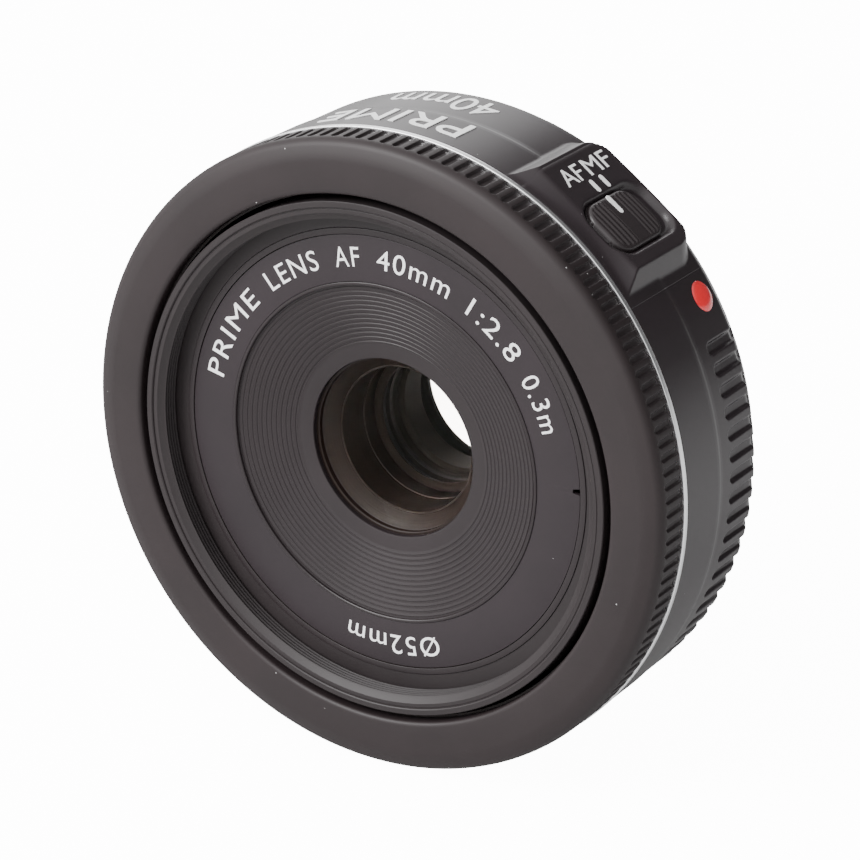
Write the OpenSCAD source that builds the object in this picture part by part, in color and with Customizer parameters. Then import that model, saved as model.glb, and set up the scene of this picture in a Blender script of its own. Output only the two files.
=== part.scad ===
// Compact autofocus prime lens: a short fixed barrel with a bayonet, a free-turning
// focus ring, and an optical unit that a motor, gears and a cam ring push forwards.
// Every module is drawn along the optical axis (z = 0 at the bayonet flange, z grows
// towards the front) and place() lays that axis along -Y, with 12 o'clock at +Z.

/* [Barrel] */
// Outer diameter of the fixed barrel
barrel_d = 68; // [67:0.5:84]
// Bayonet flange to the front of the focus ring
front_z = 22.8; // [22:0.1:28]
// Wall of the barrel behind the focus ring
barrel_wall = 1.25; // [1:0.05:1.6]
// Height of the barrel's rear edge above the flange
rear_edge_z = 0.5; // [0.3:0.1:0.8]
// Radius that the barrel loses towards its rear end
rear_taper = 0.15; // [0:0.05:0.4]
// Thickness of the plate that carries the mount and the drive
base_t = 1.4; // [1:0.1:2]
// Radius of the plate's opening for the rear lens cell
base_bore_r = 20; // [19:0.5:21]
// Number of finger grooves round the lower barrel
groove_count = 60; // [30:1:62]
// Angle from one finger groove to the next
groove_pitch = 3.83; // [3.6:0.01:4]
// Depth of a finger groove
groove_depth = 0.7; // [0.3:0.1:0.9]

/* [Focus ring] */
// Width of the knurled band and its front shoulder
ring_band = 4.85; // [4:0.05:6]
// Number of knurl grooves
knurl_count = 148; // [60:1:160]
// Depth of a knurl groove
knurl_depth = 0.35; // [0.1:0.05:0.5]
// Thickness of the ring's front flange
ring_flange_t = 1.5; // [1:0.1:2]
// Wall of the skirt that runs inside the barrel
skirt_wall = 1.1; // [0.8:0.1:1.3]
// Width of the bright trim ring
trim_w = 0.65; // [0.4:0.05:1]
// Radial clearance of every turning fit
run_gap = 0.09; // [0.03:0.01:0.1]

/* [Focusing] */
// Forward travel of the optical unit
focus_travel = 5.5; // [3:0.1:5.5]
// Turn of the cam ring over that travel
cam_turn = 100; // [60:1:104]
// Wall of the cam ring
cam_wall = 1.4; // [1.2:0.1:1.6]
// Wall of the fixed guide barrel
guide_wall = 1.1; // [0.9:0.1:1.4]
// Wall of the moving tube
tube_wall = 0.9; // [0.8:0.1:1.2]
// Diameter of the cam follower pins
follower_d = 1.8; // [1.4:0.1:2.2]
// Module of the cam ring's internal teeth
cam_module = 0.4; // [0.35:0.05:0.5]
// Teeth of the small gear that drives the cam ring
output_teeth = 12; // [12:1:14]
// Module of the motor stage
motor_module = 0.3; // [0.25:0.05:0.35]
// Teeth of the reduction wheel
wheel_teeth = 30; // [26:1:32]
// Teeth of the motor pinion
pinion_teeth = 10; // [10:1:12]
// Diameter of the focus motor
motor_d = 7.2; // [6:0.1:7.4]
// Length of the focus motor
motor_len = 7; // [5:0.1:7.2]

/* [Mount] */
// Outer diameter of the metal flange
flange_d = 64.4; // [62:0.2:64.8]
// Thickness of the metal flange
flange_t = 2; // [1.6:0.1:2.4]
// Outer diameter of the spigot
spigot_d = 50.8; // [50:0.1:52]
// Wall of the spigot
spigot_wall = 1.8; // [1.4:0.1:2]
// Length of the spigot behind the flange
spigot_len = 5.2; // [4.8:0.1:6]
// Radial reach of the three bayonet lugs
lug_reach = 1.5; // [1:0.1:2]
// Gap between the flange and the lugs
lug_gap = 2.6; // [2.2:0.1:3]
// Thickness of the lugs
lug_t = 1.4; // [1:0.1:1.8]
// Radius of the circle of mount screws
mount_screw_circle_r = 28.6; // [28:0.1:29]

/* [Filter thread and front] */
// Nominal diameter of the filter thread
filter_d = 52; // [50:0.5:52]
// Pitch of the filter thread
filter_pitch = 0.75; // [0.5:0.25:1]
// Setback of the filter ring behind the focus ring's face
filter_setback = 0.2; // [0.1:0.1:0.5]
// Depth of the name ring behind the focus ring's face
name_depth = 2.95; // [2.6:0.05:3.4]
// Outer radius of the name ring
name_r = 23.37; // [22:0.01:24]
// Outer radius of the stepped baffle
baffle_r = 18.4; // [17:0.1:19]
// Radius of the opening in the stepped baffle
opening_r = 9.67; // [9:0.01:10]
// Drop of the stepped baffle from its rim to the opening
baffle_drop = 2; // [1.5:0.1:2.2]

/* [Iris] */
// Number of iris blades
blade_count = 7; // [7:7]
// Radius of the full opening
iris_open_r = 7.3; // [7:0.1:7.4]
// Radius of the circle of blade pivots
pivot_circle_r = 12.9; // [12.8:0.1:13]
// Distance from a blade's pivot to its driving pin
drive_arm = 1.5; // [1.4:0.1:1.6]
// Turn of a blade from open to closed
blade_turn = 29.2; // [20:0.1:30]
// Turn of the iris driving ring over that
iris_turn = 24; // [20:1:24]
// Diameter of the pins on a blade
blade_pin_d = 0.7; // [0.6:0.05:0.8]
// Outer radius of the iris driving ring
iris_ring_r = 15.3; // [15.2:0.1:15.4]

/* [Switch] */
// Direction that the switch panel faces, clockwise from the top
panel_angle = 39.2; // [36:0.1:42]
// Height of the panel's flat top above the barrel at its middle
panel_rise = 0.5; // [0.4:0.05:0.8]
// Width of the panel's flat top round the barrel
panel_w = 14.2; // [13:0.1:15]
// Width of the switch knob round the barrel
knob_w = 6.3; // [5.6:0.1:6.6]
// Length of the switch knob along the barrel
knob_len = 8.8; // [8:0.1:9]
// Travel of the switch from automatic to manual
switch_travel = 1.9; // [1.6:0.01:2]

/* [Hidden] */
$fn = 96;

// small fits
face_gap = 0.05;
seat_gap = 0.03;
backlash = 0.05;

// radii of the barrel, ring and cam stack, from the outside in
barrel_r = barrel_d / 2;
barrel_in_r = barrel_r - barrel_wall;
bore_land = 0.45;
front_bore_r = barrel_in_r - bore_land;
skirt_out_r = front_bore_r - run_gap;
skirt_in_r = skirt_out_r - skirt_wall;
cam_clear = 0.4;
cam_out_r = skirt_in_r - cam_clear;
cam_in_r = cam_out_r - cam_wall;
guide_out_r = cam_in_r - run_gap;
guide_in_r = guide_out_r - guide_wall;
tube_clear = 0.5;
tube_out_r = guide_in_r - tube_clear;
tube_in_r = tube_out_r - tube_wall;
ring_lip_clear = 0.7;
ring_lip_r = tube_out_r + ring_lip_clear;

// heights that follow from the front
ring_back_z = front_z - ring_band;
ring_gap = 0.1;
trim_z1 = ring_back_z - ring_gap;
trim_z0 = trim_z1 - trim_w;
barrel_front_z = trim_z0;
ring_flange_z = front_z - ring_flange_t;
retainer_t = 0.4;
retainer_z1 = ring_flange_z - 0.15;
retainer_z0 = retainer_z1 - retainer_t;
guide_front_z = retainer_z0;
cam_front_z = guide_front_z - 0.15;
filter_front_z = front_z - filter_setback;
name_z = front_z - name_depth;
name_t = 0.6;
web_t = 1;
web_z1 = name_z - name_t - 2.05;
web_z0 = web_z1 - web_t;

// heights that follow from the flange
base_z0 = flange_t;
base_z1 = base_z0 + base_t;
wheel_z0 = base_z1 + 0.7;
wheel_t = 1;
cam_rear_z = wheel_z0 + wheel_t + 0.3;
cam_teeth_t = 1.8;
cam_teeth_z1 = cam_rear_z + cam_teeth_t;
bracket_z0 = cam_teeth_z1 + 0.3;
bracket_t = 0.6;
bracket_z1 = bracket_z0 + bracket_t;
land_z0 = barrel_front_z - 4.6;
skirt_rear_z = land_z0 - 0.6;
encoder_t = 0.7;
panel_z0 = 2.35;
panel_z1 = barrel_front_z - 0.25;

// the cam ring: followers at rest, slope of its slots
follower_angles = [60, 180, 300];
follower_r = follower_d / 2;
slot_half = follower_r + 0.1;
cam_slot_z0 = cam_front_z - focus_travel - slot_half - 1.3;
tube_rear_z = cam_slot_z0 - 2.8;
tube_front_z = front_z - 2.6;
slot_steps = 10;

// gear train of the focus drive
addendum = 0.8;
cam_teeth = ceil(2 * (cam_in_r / cam_module + addendum));
cam_pitch_r = cam_teeth * cam_module / 2;
cam_tip_r = cam_pitch_r - addendum * cam_module;
cam_root_r = cam_pitch_r + 1.1 * cam_module;
cam_skirt_r = cam_root_r + 0.9;
output_pitch_r = output_teeth * cam_module / 2;
wheel_pitch_r = wheel_teeth * motor_module / 2;
pinion_pitch_r = pinion_teeth * motor_module / 2;
gear_r = cam_pitch_r - output_pitch_r - 0.02;
gear_angle = 240;
motor_centre = wheel_pitch_r + pinion_pitch_r + 0.03;
motor_r = tube_in_r - 0.5 - motor_d / 2;
motor_swing = acos((gear_r * gear_r + motor_r * motor_r - motor_centre * motor_centre)
    / (2 * gear_r * motor_r));
motor_angle = gear_angle - motor_swing;
shaft_r = 0.5;
motor_shaft_r = 0.4;

// optics, front element first: rim radius, then front and rear vertex and radius
front_rim_r = 9.35;
front_vertex_z = front_z - 5.5;
mid_rim_r = 7.5;
rear_rim_r = 7.2;
last_rim_r = 9.5;
web_bore_r = 10.6;

// iris stack, measured down from the front group
iris_base_z0 = front_z - 16.4;
iris_base_t = 0.6;
iris_base_z1 = iris_base_z0 + iris_base_t;
blade_t = 0.08;
blade_step = 0.14;
blade_z0 = iris_base_z1 + 0.08;
iris_ring_z0 = blade_z0 + blade_count * blade_step + 0.24;
iris_ring_t = 0.7;
iris_ring_z1 = iris_ring_z0 + iris_ring_t;
iris_cover_z0 = iris_ring_z1 + 0.1;
iris_cover_t = 0.7;
iris_cover_z1 = iris_cover_z0 + iris_cover_t;
iris_wall_in_r = iris_ring_r + 0.15;
iris_wall_out_r = iris_ring_r + 1.7;
blade_in_r = iris_open_r + 0.3;
blade_out_r = pivot_circle_r - 1.3;
blade_pin_r = blade_pin_d / 2;
drive_lead = 75;
iris_ring_in_r = blade_out_r + 0.1;
iris_module = 0.3;
iris_ring_teeth = ceil(2 * iris_ring_r / iris_module) + 2;
iris_pitch_r = iris_ring_teeth * iris_module / 2;
iris_pinion_teeth = 12;
iris_pinion_pitch_r = iris_pinion_teeth * iris_module / 2;
iris_motor_r = iris_pitch_r + iris_pinion_pitch_r + 0.03;
iris_motor_angle = 72;
iris_motor_d = 6;
iris_post_angles = [20, 140, 260];
iris_post_r = iris_wall_out_r + 1.6;

// switch
panel_top = barrel_r + panel_rise;
knob_angle = 42.75;
knob_x = panel_top * tan(knob_angle - panel_angle);
knob_gap = 0.35;
knob_z1 = barrel_front_z - 3.25;
knob_z0 = knob_z1 - knob_len;
recess_z1 = knob_z1 + 0.6;
recess_z0 = knob_z0 - switch_travel - 0.15;
recess_floor = barrel_r - 0.55;
recess_corner = 2.4;
stem_w = 2.2;
stem_z0 = knob_z0 + 3.2;
stem_len = 2;

// ---- helpers ----

// Lays the optical axis along -Y with 12 o'clock at +Z.
module place() {
    rotate([90, 0, 0]) children();
}

// Puts children at a clock angle (clockwise from the top, seen from the front).
module at_clock(angle, radius = 0, z = 0) {
    rotate([0, 0, -angle]) translate([0, radius, z]) children();
}

// A plain ring round the optical axis.
module ring(r_out, r_in, z0, z1) {
    rotate_extrude() translate([r_in, z0]) square([r_out - r_in, z1 - z0]);
}

// A length of ring between two clock angles.
module arc(r_out, r_in, z0, z1, from, to) {
    rotate([0, 0, 90 - to]) rotate_extrude(angle = to - from)
        translate([r_in, z0]) square([r_out - r_in, z1 - z0]);
}

// A rod along the optical axis.
module rod(r, z0, z1) {
    translate([0, 0, z0]) cylinder(r = r, h = z1 - z0);
}

// A rod that points outwards from the axis, between two radii.
module radial_rod(r, r0, r1) {
    translate([0, r0, 0]) rotate([-90, 0, 0]) cylinder(r = r, h = r1 - r0);
}

// A countersunk or pan head screw that points towards +z.
module screw(head_r, head_h, shank_r, length) {
    difference() {
        union() {
            rod(head_r, 0, head_h);
            rod(shank_r, head_h - 0.01, length);
        }
        for (turn = [0, 90]) rotate([0, 0, turn])
            translate([-head_r * 0.6, -0.15, -0.1]) cube([head_r * 1.2, 0.3, 0.35]);
    }
}

function involute_turn(r, base) = r <= base ? 0 : tan(acos(base / r)) * 180 / PI - acos(base / r);

// Half of a tooth's angle at radius r, for a pressure angle of 20 degrees.
function half_tooth(r, pitch_r, teeth, play) =
    90 / teeth - play / pitch_r * 90 / PI
    + involute_turn(pitch_r, pitch_r * cos(20)) - involute_turn(r, pitch_r * cos(20));

function polar(r, a) = [r * cos(a), r * sin(a)];

// Outline of an external gear with short involute teeth.
function gear_outline(teeth, pitch_r, tip, root, play) = [
    for (i = [0 : teeth - 1]) let (mid = i * 360 / teeth)
        each [
            polar(root, mid - half_tooth(root, pitch_r, teeth, play)),
            for (k = [0 : 3]) let (r = root + (tip - root) * (k + 1) / 4)
                polar(r, mid - half_tooth(r, pitch_r, teeth, play)),
            for (k = [3 : -1 : 0]) let (r = root + (tip - root) * (k + 1) / 4)
                polar(r, mid + half_tooth(r, pitch_r, teeth, play)),
            polar(root, mid + half_tooth(root, pitch_r, teeth, play))
        ]
];

module spur(teeth, pitch_r, unit) {
    polygon(gear_outline(teeth, pitch_r, pitch_r + addendum * unit,
        pitch_r - 1.1 * unit, backlash));
}

// Depth of a spherical face below its vertex at radius r; a negative radius bulges back.
function sag(curve, r) = curve - sign(curve) * sqrt(curve * curve - r * r);

// A lens element: vertex height and radius of curvature of its front and rear faces.
module element(rim, front, front_curve, rear, rear_curve) {
    steps = 12;
    rotate_extrude() polygon([
        for (i = [0 : steps]) let (r = rim * i / steps) [r, front - sag(front_curve, r)],
        for (i = [steps : -1 : 0]) let (r = rim * i / steps) [r, rear - sag(rear_curve, r)]
    ]);
}

// ---- fixed barrel ----

module barrel_shell() {
    edge = 0.15;
    crease_z = 10.3;
    rotate_extrude() polygon([
        [barrel_r - rear_taper - 1.4, rear_edge_z],
        [barrel_r - rear_taper - 0.3, rear_edge_z + 1.8],
        [barrel_r - rear_taper, rear_edge_z + 2.25],
        [barrel_r, crease_z],
        [barrel_r, barrel_front_z - edge],
        [barrel_r - edge, barrel_front_z],
        [front_bore_r, barrel_front_z],
        [front_bore_r, land_z0],
        [barrel_in_r, land_z0],
        [barrel_in_r, base_z1],
        [base_bore_r, base_z1],
        [base_bore_r, base_z0],
        [flange_d / 2 + 0.12, base_z0],
        [flange_d / 2 + 0.12, rear_edge_z]
    ]);
}

// flat-topped panel with slanted flanks, a scooped front and a steep rear
module switch_panel() {
    half = panel_w / 2;
    flank = 1.8;
    intersection() {
        at_clock(panel_angle) translate([0, 0, panel_z0]) linear_extrude(panel_z1 - panel_z0)
            polygon([
                [-half - flank, barrel_in_r - 2],
                [-half - flank, panel_top - 1.9],
                [-half, panel_top],
                [half, panel_top],
                [half + flank, panel_top - 1.9],
                [half + flank, barrel_in_r - 2]
            ]);
        at_clock(panel_angle) translate([-half - 3, 0, 0]) rotate([90, 0, 90])
            linear_extrude(2 * half + 6) polygon([
                [barrel_in_r - 3, panel_z0 - 1],
                [panel_top - 1.6, panel_z0 - 1],
                [panel_top + 0.1, panel_z0 + 0.5],
                [panel_top + 0.1, recess_z1 + 0.25],
                [panel_top - 0.45, panel_z1 - 0.9],
                [panel_top - 1.5, panel_z1 + 1],
                [barrel_in_r - 3, panel_z1 + 1]
            ]);
        ring(barrel_r + 3, barrel_in_r, panel_z0, panel_z1);
    }
}

module switch_recess() {
    at_clock(panel_angle) translate([knob_x, 0, 0]) {
        depth = panel_top - recess_floor + 1;
        w = knob_w + 2 * knob_gap;
        translate([-w / 2 + recess_corner, recess_floor, recess_z0])
            cube([w - 2 * recess_corner, depth, recess_z1 - recess_z0]);
        translate([-w / 2, recess_floor, recess_z0 + recess_corner])
            cube([w, depth, recess_z1 - recess_z0 - 2 * recess_corner]);
        for (side = [-1, 1], z = [recess_z0 + recess_corner, recess_z1 - recess_corner])
            translate([side * (w / 2 - recess_corner), 0, z])
                radial_rod(recess_corner, recess_floor, recess_floor + depth);
        translate([-stem_w / 2 - 0.15, barrel_in_r - 2, stem_z0 - switch_travel - 0.15])
            cube([stem_w + 0.3, 5, stem_len + switch_travel + 0.3]);
    }
}

groove_z0 = rear_edge_z + 0.9;
groove_z1 = 8;
groove_half_w = 0.62;
first_groove = 66.7 + groove_pitch / 2;

module finger_grooves() {
    for (i = [0 : groove_count - 1])
        at_clock(first_groove + i * groove_pitch, barrel_r - rear_taper - groove_depth)
            translate([-groove_half_w, 0, groove_z0])
                cube([2 * groove_half_w, 3, groove_z1 - groove_z0]);
}

dot_angle = 60.2;
dot_z = 5.1;
dot_r = 1.35;
dot_depth = 0.7;
dot_flat_r = barrel_r - rear_taper;
mount_screw_angles = [45, 135, 225, 315];
guide_foot_angles = [20, 140, 278];
guide_foot_r = guide_in_r - 1.5;

module main_barrel() {
    color([0.10, 0.10, 0.11]) difference() {
        union() {
            barrel_shell();
            switch_panel();
        }
        switch_recess();
        finger_grooves();
        at_clock(dot_angle, 0, dot_z)
            radial_rod(dot_r + seat_gap, dot_flat_r - dot_depth, barrel_r + 3);
        for (a = mount_screw_angles) at_clock(a, mount_screw_circle_r)
            rod(0.95, base_z0 - 1, base_z1 - 0.1);
        for (a = guide_foot_angles) at_clock(a, guide_foot_r)
            rod(0.65, base_z0 + 0.2, base_z1 + 1);
        at_clock(gear_angle, gear_r) rod(shaft_r + seat_gap, base_z0 + 0.4, base_z1 + 1);
        for (a = bracket_post_angles) at_clock(a, bracket_post_r)
            rod(0.55, base_z0 - 1, base_z1 + 1);
    }
}

module trim_ring() {
    bevel = 0.12;
    lap = 0.1;
    color([0.92, 0.92, 0.93]) rotate_extrude() polygon([
        [front_bore_r + 0.1, trim_z0],
        [barrel_r - 0.25, trim_z0],
        [barrel_r - 0.25, trim_z0 + 0.12],
        [barrel_r + lap - bevel, trim_z0 + 0.12],
        [barrel_r + lap, trim_z0 + 0.12 + bevel],
        [barrel_r + lap, trim_z1 - bevel],
        [barrel_r + lap - bevel, trim_z1],
        [front_bore_r + 0.1, trim_z1]
    ]);
}

module index_dot() {
    color([0.85, 0.08, 0.08]) at_clock(dot_angle, 0, dot_z) {
        radial_rod(dot_r, dot_flat_r - dot_depth, dot_flat_r + 0.1);
        translate([0, dot_flat_r + 0.1, 0]) rotate([-90, 0, 0])
            cylinder(r1 = dot_r, r2 = dot_r * 0.6, h = 0.3);
    }
}

// ---- bayonet ----

lug_arcs = [[-28, 28], [92, 148], [212, 268]];
spigot_r = spigot_d / 2;
spigot_in_r = spigot_r - spigot_wall;

module bayonet_mount() {
    color([0.78, 0.78, 0.80]) difference() {
        union() {
            ring(flange_d / 2, spigot_in_r, 0, flange_t);
            ring(spigot_r, spigot_in_r, -spigot_len, 0);
            for (lug = lug_arcs)
                arc(spigot_r + lug_reach, spigot_in_r, -lug_gap - lug_t, -lug_gap,
                    lug[0], lug[1]);
        }
        for (a = mount_screw_angles) at_clock(a, mount_screw_circle_r) {
            rod(1, -1, flange_t + 1);
            rod(1.75, -1, 1.1);
        }
        // hole for the lock pin of the camera
        at_clock(330, mount_screw_circle_r) rod(1.4, -1, 1.4);
    }
}

module mount_screws() {
    color([0.82, 0.82, 0.83]) for (a = mount_screw_angles)
        at_clock(a, mount_screw_circle_r, 0.15) screw(1.65, 0.9, 0.9, base_z1 - 0.4);
}

light_baffle_r = spigot_in_r - 0.1;
light_baffle_bore_r = 11.6;
contact_half = 27;

module rear_light_baffle() {
    color([0.07, 0.07, 0.07]) difference() {
        union() {
            ring(light_baffle_r, light_baffle_r - 1.2, -spigot_len + 0.6, base_z0);
            ring(light_baffle_r - 1, light_baffle_bore_r, -0.6, 0.4);
            ring(light_baffle_bore_r + 0.9, light_baffle_bore_r, -1.6, 0.4);
        }
        arc(light_baffle_r + 1, light_baffle_r - 4.4, -spigot_len, base_z0 + 1,
            180 - contact_half - 0.4, 180 + contact_half + 0.4);
    }
}

contact_pin_count = 8;
contact_r = light_baffle_r - 1.9;

module contact_block() {
    color([0.09, 0.09, 0.10]) difference() {
        arc(light_baffle_r, light_baffle_r - 4.2, -spigot_len + 0.3, base_z0,
            180 - contact_half, 180 + contact_half);
        for (i = [0 : contact_pin_count - 1]) at_clock(contact_angle(i), contact_r)
            rod(0.6 + seat_gap, -spigot_len, base_z0 - 0.3);
    }
}

function contact_angle(i) = 180 + (i - (contact_pin_count - 1) / 2) * 5.9;

module contact_pins() {
    color([0.85, 0.66, 0.28]) for (i = [0 : contact_pin_count - 1])
        at_clock(contact_angle(i), contact_r) rod(0.6, -spigot_len + 0.15, base_z0 - 0.4);
}

// ---- guide barrel and what it carries ----

module slot_cut(r0, r1, z0, z1, half) {
    translate([-half, r0, z0]) cube([2 * half, r1 - r0, z1 - z0]);
    translate([0, 0, z0]) radial_rod(half, r0, r1);
    translate([0, 0, z1]) radial_rod(half, r0, r1);
}

foot_reach = 3;
foot_t = 0.8;
gear_window_half = 11.5;

module guide_barrel() {
    color([0.20, 0.20, 0.22]) difference() {
        union() {
            // tube with the ledge that the cam ring rests on
            rotate_extrude() polygon([
                [guide_in_r, base_z1 + face_gap],
                [guide_out_r, base_z1 + face_gap],
                [guide_out_r, cam_rear_z - 0.6],
                [guide_out_r + 0.8, cam_rear_z - 0.6],
                [guide_out_r + 0.8, cam_rear_z - 0.1],
                [guide_out_r, cam_rear_z - 0.1],
                [guide_out_r, guide_front_z],
                [guide_in_r, guide_front_z]
            ]);
            for (a = guide_foot_angles) at_clock(a)
                translate([-2, guide_in_r - foot_reach, base_z1])
                    cube([4, foot_reach + 0.3, foot_t]);
        }
        for (a = follower_angles) at_clock(a)
            slot_cut(guide_in_r - 1, guide_out_r + 1, cam_slot_z0, cam_slot_z0 + focus_travel,
                slot_half);
        for (a = guide_foot_angles) at_clock(a, guide_foot_r)
            rod(0.65, base_z1 - 1, base_z1 + 2);
        arc(guide_out_r + 2, guide_in_r - 1, base_z1 - 1, bracket_z1 + 0.2,
            gear_angle - gear_window_half, gear_angle + gear_window_half);
    }
}

module guide_screws() {
    color([0.55, 0.55, 0.57]) for (a = guide_foot_angles)
        at_clock(a, guide_foot_r, base_z1 + foot_t + 0.6) mirror([0, 0, 1])
            screw(1.1, 0.6, 0.6, 0.6 + foot_t + base_t - 0.4);
}

module cam_ring_retainer() {
    color([0.70, 0.70, 0.72])
        ring(cam_in_r + 0.9, guide_in_r, retainer_z0, retainer_z1);
}

board_in_r = base_bore_r + 0.4;
board_out_r = guide_in_r - foot_reach - 0.3;
board_t = 0.6;
board_from = -70;
board_to = 208;

module circuit_board() {
    color([0.10, 0.35, 0.18])
        arc(board_out_r, board_in_r, base_z1, base_z1 + board_t, board_from, board_to);
}

// Chips on the board: clock angle, width round the board, depth, height.
chips = [[-45, 5, 3, 0.9], [-12, 3, 2.4, 0.8], [45, 6, 3, 1.0], [75, 2.4, 2, 0.7],
    [125, 4, 3, 0.9], [165, 3, 2.4, 0.8], [190, 2.4, 2, 1.1]];

module circuit_chips() {
    color([0.13, 0.13, 0.14]) for (chip = chips)
        at_clock(chip[0], (board_in_r + board_out_r) / 2, base_z1 + board_t)
            translate([-chip[1] / 2, -chip[2] / 2, 0]) cube([chip[1], chip[2], chip[3]]);
}

// ---- focus drive ----

bracket_post_angles = [motor_angle - 12, gear_angle + 12];
bracket_post_r = motor_r - 0.8;
bracket_from = bracket_post_angles[0] - 3.5;
bracket_to = bracket_post_angles[1] + 3.5;

module focus_motor() {
    color([0.72, 0.72, 0.70]) at_clock(motor_angle, motor_r, bracket_z1) difference() {
        union() {
            rod(motor_d / 2, 0, motor_len);
            rod(motor_d / 2 - 1.6, motor_len - 0.01, motor_len + 0.3);
        }
        rod(motor_shaft_r + 0.06, -1, 2);
    }
}

module motor_bracket() {
    color([0.60, 0.60, 0.58]) difference() {
        union() {
            arc(guide_in_r - 0.3, bracket_post_r - 1.4, bracket_z0, bracket_z1,
                bracket_from, bracket_to);
            at_clock(gear_angle, gear_r) rod(1.1, bracket_z0, bracket_z1);
            for (a = bracket_post_angles) at_clock(a, bracket_post_r)
                rod(1.2, base_z1, bracket_z1);
        }
        at_clock(gear_angle, gear_r) rod(shaft_r + seat_gap, base_z1, bracket_z1 + 1);
        at_clock(motor_angle, motor_r) rod(1.1, base_z1, bracket_z1 + 1);
        for (a = bracket_post_angles) at_clock(a, bracket_post_r)
            rod(0.5, base_z1 - 1, bracket_z0 - 0.5);
    }
}

module bracket_screws() {
    color([0.55, 0.55, 0.57]) for (a = bracket_post_angles)
        at_clock(a, bracket_post_r, base_z0 + 0.02) screw(0.5, 0.3, 0.47, base_t + 2.4);
}

module gear_shaft() {
    color([0.80, 0.80, 0.82]) at_clock(gear_angle, gear_r)
        rod(shaft_r, base_z0 + 0.45, bracket_z1);
}

// Turn that brings a gear's tooth gap onto the line between two gears.
function gap_facing(teeth, bearing) = bearing + 180 / teeth;

module reduction_gear() {
    color([0.90, 0.88, 0.80]) at_clock(gear_angle, gear_r) difference() {
        union() {
            // the wheel shows a tooth to the motor pinion
            translate([0, 0, wheel_z0]) linear_extrude(wheel_t)
                rotate([0, 0, motor_bearing]) spur(wheel_teeth, wheel_pitch_r, motor_module);
            // the output gear shows a tooth to the cam ring
            translate([0, 0, wheel_z0 + wheel_t]) linear_extrude(cam_teeth_z1 - wheel_z0 - wheel_t)
                rotate([0, 0, 90]) spur(output_teeth, output_pitch_r, cam_module);
        }
        rod(shaft_r + 0.06, wheel_z0 - 1, bracket_z0);
    }
}

// Bearing of the motor seen from the reduction gear, in the gear's own turned frame.
motor_bearing = atan2(motor_r * cos(motor_swing) - gear_r, -motor_r * sin(motor_swing));

module motor_pinion() {
    color([0.82, 0.70, 0.40]) at_clock(motor_angle, motor_r) union() {
        // a gap of the pinion faces the wheel's tooth
        translate([0, 0, wheel_z0 - 0.1]) linear_extrude(wheel_t + 0.2)
            rotate([0, 0, gap_facing(pinion_teeth, motor_bearing + 180 + motor_turned)])
                spur(pinion_teeth, pinion_pitch_r, motor_module);
        rod(motor_shaft_r, wheel_z0 - 0.3, bracket_z1 + 1.8);
    }
}

// at_clock turns the motor's frame by motor_swing against the gear's.
motor_turned = -motor_swing;

module cam_ring() {
    sector = cam_turn + 26;
    color([0.30, 0.30, 0.32]) difference() {
        union() {
            // tube with a wider skirt round the teeth
            rotate_extrude() polygon([
                [cam_root_r, cam_rear_z],
                [cam_skirt_r, cam_rear_z],
                [cam_skirt_r, cam_teeth_z1 + 0.8],
                [cam_out_r, cam_teeth_z1 + 0.8],
                [cam_out_r, cam_front_z],
                [cam_in_r, cam_front_z],
                [cam_in_r, cam_teeth_z1 + 0.2],
                [cam_root_r, cam_teeth_z1 + 0.2]
            ]);
            ring_gear_teeth(sector);
        }
        for (a = follower_angles) cam_slot(a);
    }
}

// Internal teeth over the stretch that passes the output gear; a gap faces it at rest.
module ring_gear_teeth(sector) {
    count = ceil(sector / 360 * cam_teeth);
    first = -floor(13 / 360 * cam_teeth);
    translate([0, 0, cam_rear_z]) linear_extrude(cam_teeth_t + 0.25)
        for (i = [first : first + count])
            rotate([0, 0, 90 - gear_angle - (i + 0.5) * 360 / cam_teeth])
                polygon(inner_tooth());
}

// One tooth that points inwards, along +x.
function inner_half(r) = 180 / cam_teeth
    - (90 / cam_teeth + backlash / cam_pitch_r * 90 / PI
    + involute_turn(cam_pitch_r, cam_pitch_r * cos(20)) - involute_turn(r, cam_pitch_r * cos(20)));

function inner_tooth() = let (low = cam_root_r + 0.15) [
    for (k = [0 : 4]) let (r = cam_tip_r + (cam_root_r - cam_tip_r) * k / 4)
        polar(r, -inner_half(r)),
    polar(low, -inner_half(cam_root_r)),
    polar(low, inner_half(cam_root_r)),
    for (k = [4 : -1 : 0]) let (r = cam_tip_r + (cam_root_r - cam_tip_r) * k / 4)
        polar(r, inner_half(r))
];

// A sloping slot: straight when unrolled, cut as short flats that follow the helix.
module cam_slot(a) {
    mid_r = (cam_in_r + cam_out_r) / 2;
    step = cam_turn / slot_steps;
    rise = focus_travel / slot_steps;
    run = mid_r * step * PI / 180;
    slope = atan2(rise, run);
    length = sqrt(run * run + rise * rise);
    for (i = [0 : slot_steps - 1])
        at_clock(a + (i + 0.5) * step, cam_in_r - 0.6, cam_slot_z0 + (i + 0.5) * rise)
            rotate([0, -slope, 0]) translate([-length / 2 - 0.06, 0, -slot_half])
                cube([length + 0.12, cam_wall + 1.6, 2 * slot_half]);
    at_clock(a, 0, cam_slot_z0) radial_rod(slot_half, cam_in_r - 0.6, cam_out_r + 1);
    at_clock(a + cam_turn, 0, cam_slot_z0 + focus_travel)
        radial_rod(slot_half, cam_in_r - 0.6, cam_out_r + 1);
}

// ---- small parts between the barrel and its moving pieces ----

module service_flex() {
    strip_r = board_out_r - 0.8;
    color([0.80, 0.52, 0.18]) at_clock(100) {
        translate([-2, strip_r - 2.2, base_z1 + board_t]) cube([4, 2.4, 0.15]);
        translate([-2, strip_r, base_z1 + board_t]) cube([4, 0.2, web_z0 - base_z1 - board_t - 0.1]);
    }
}

sensor_angles = [300, 311];

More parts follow.
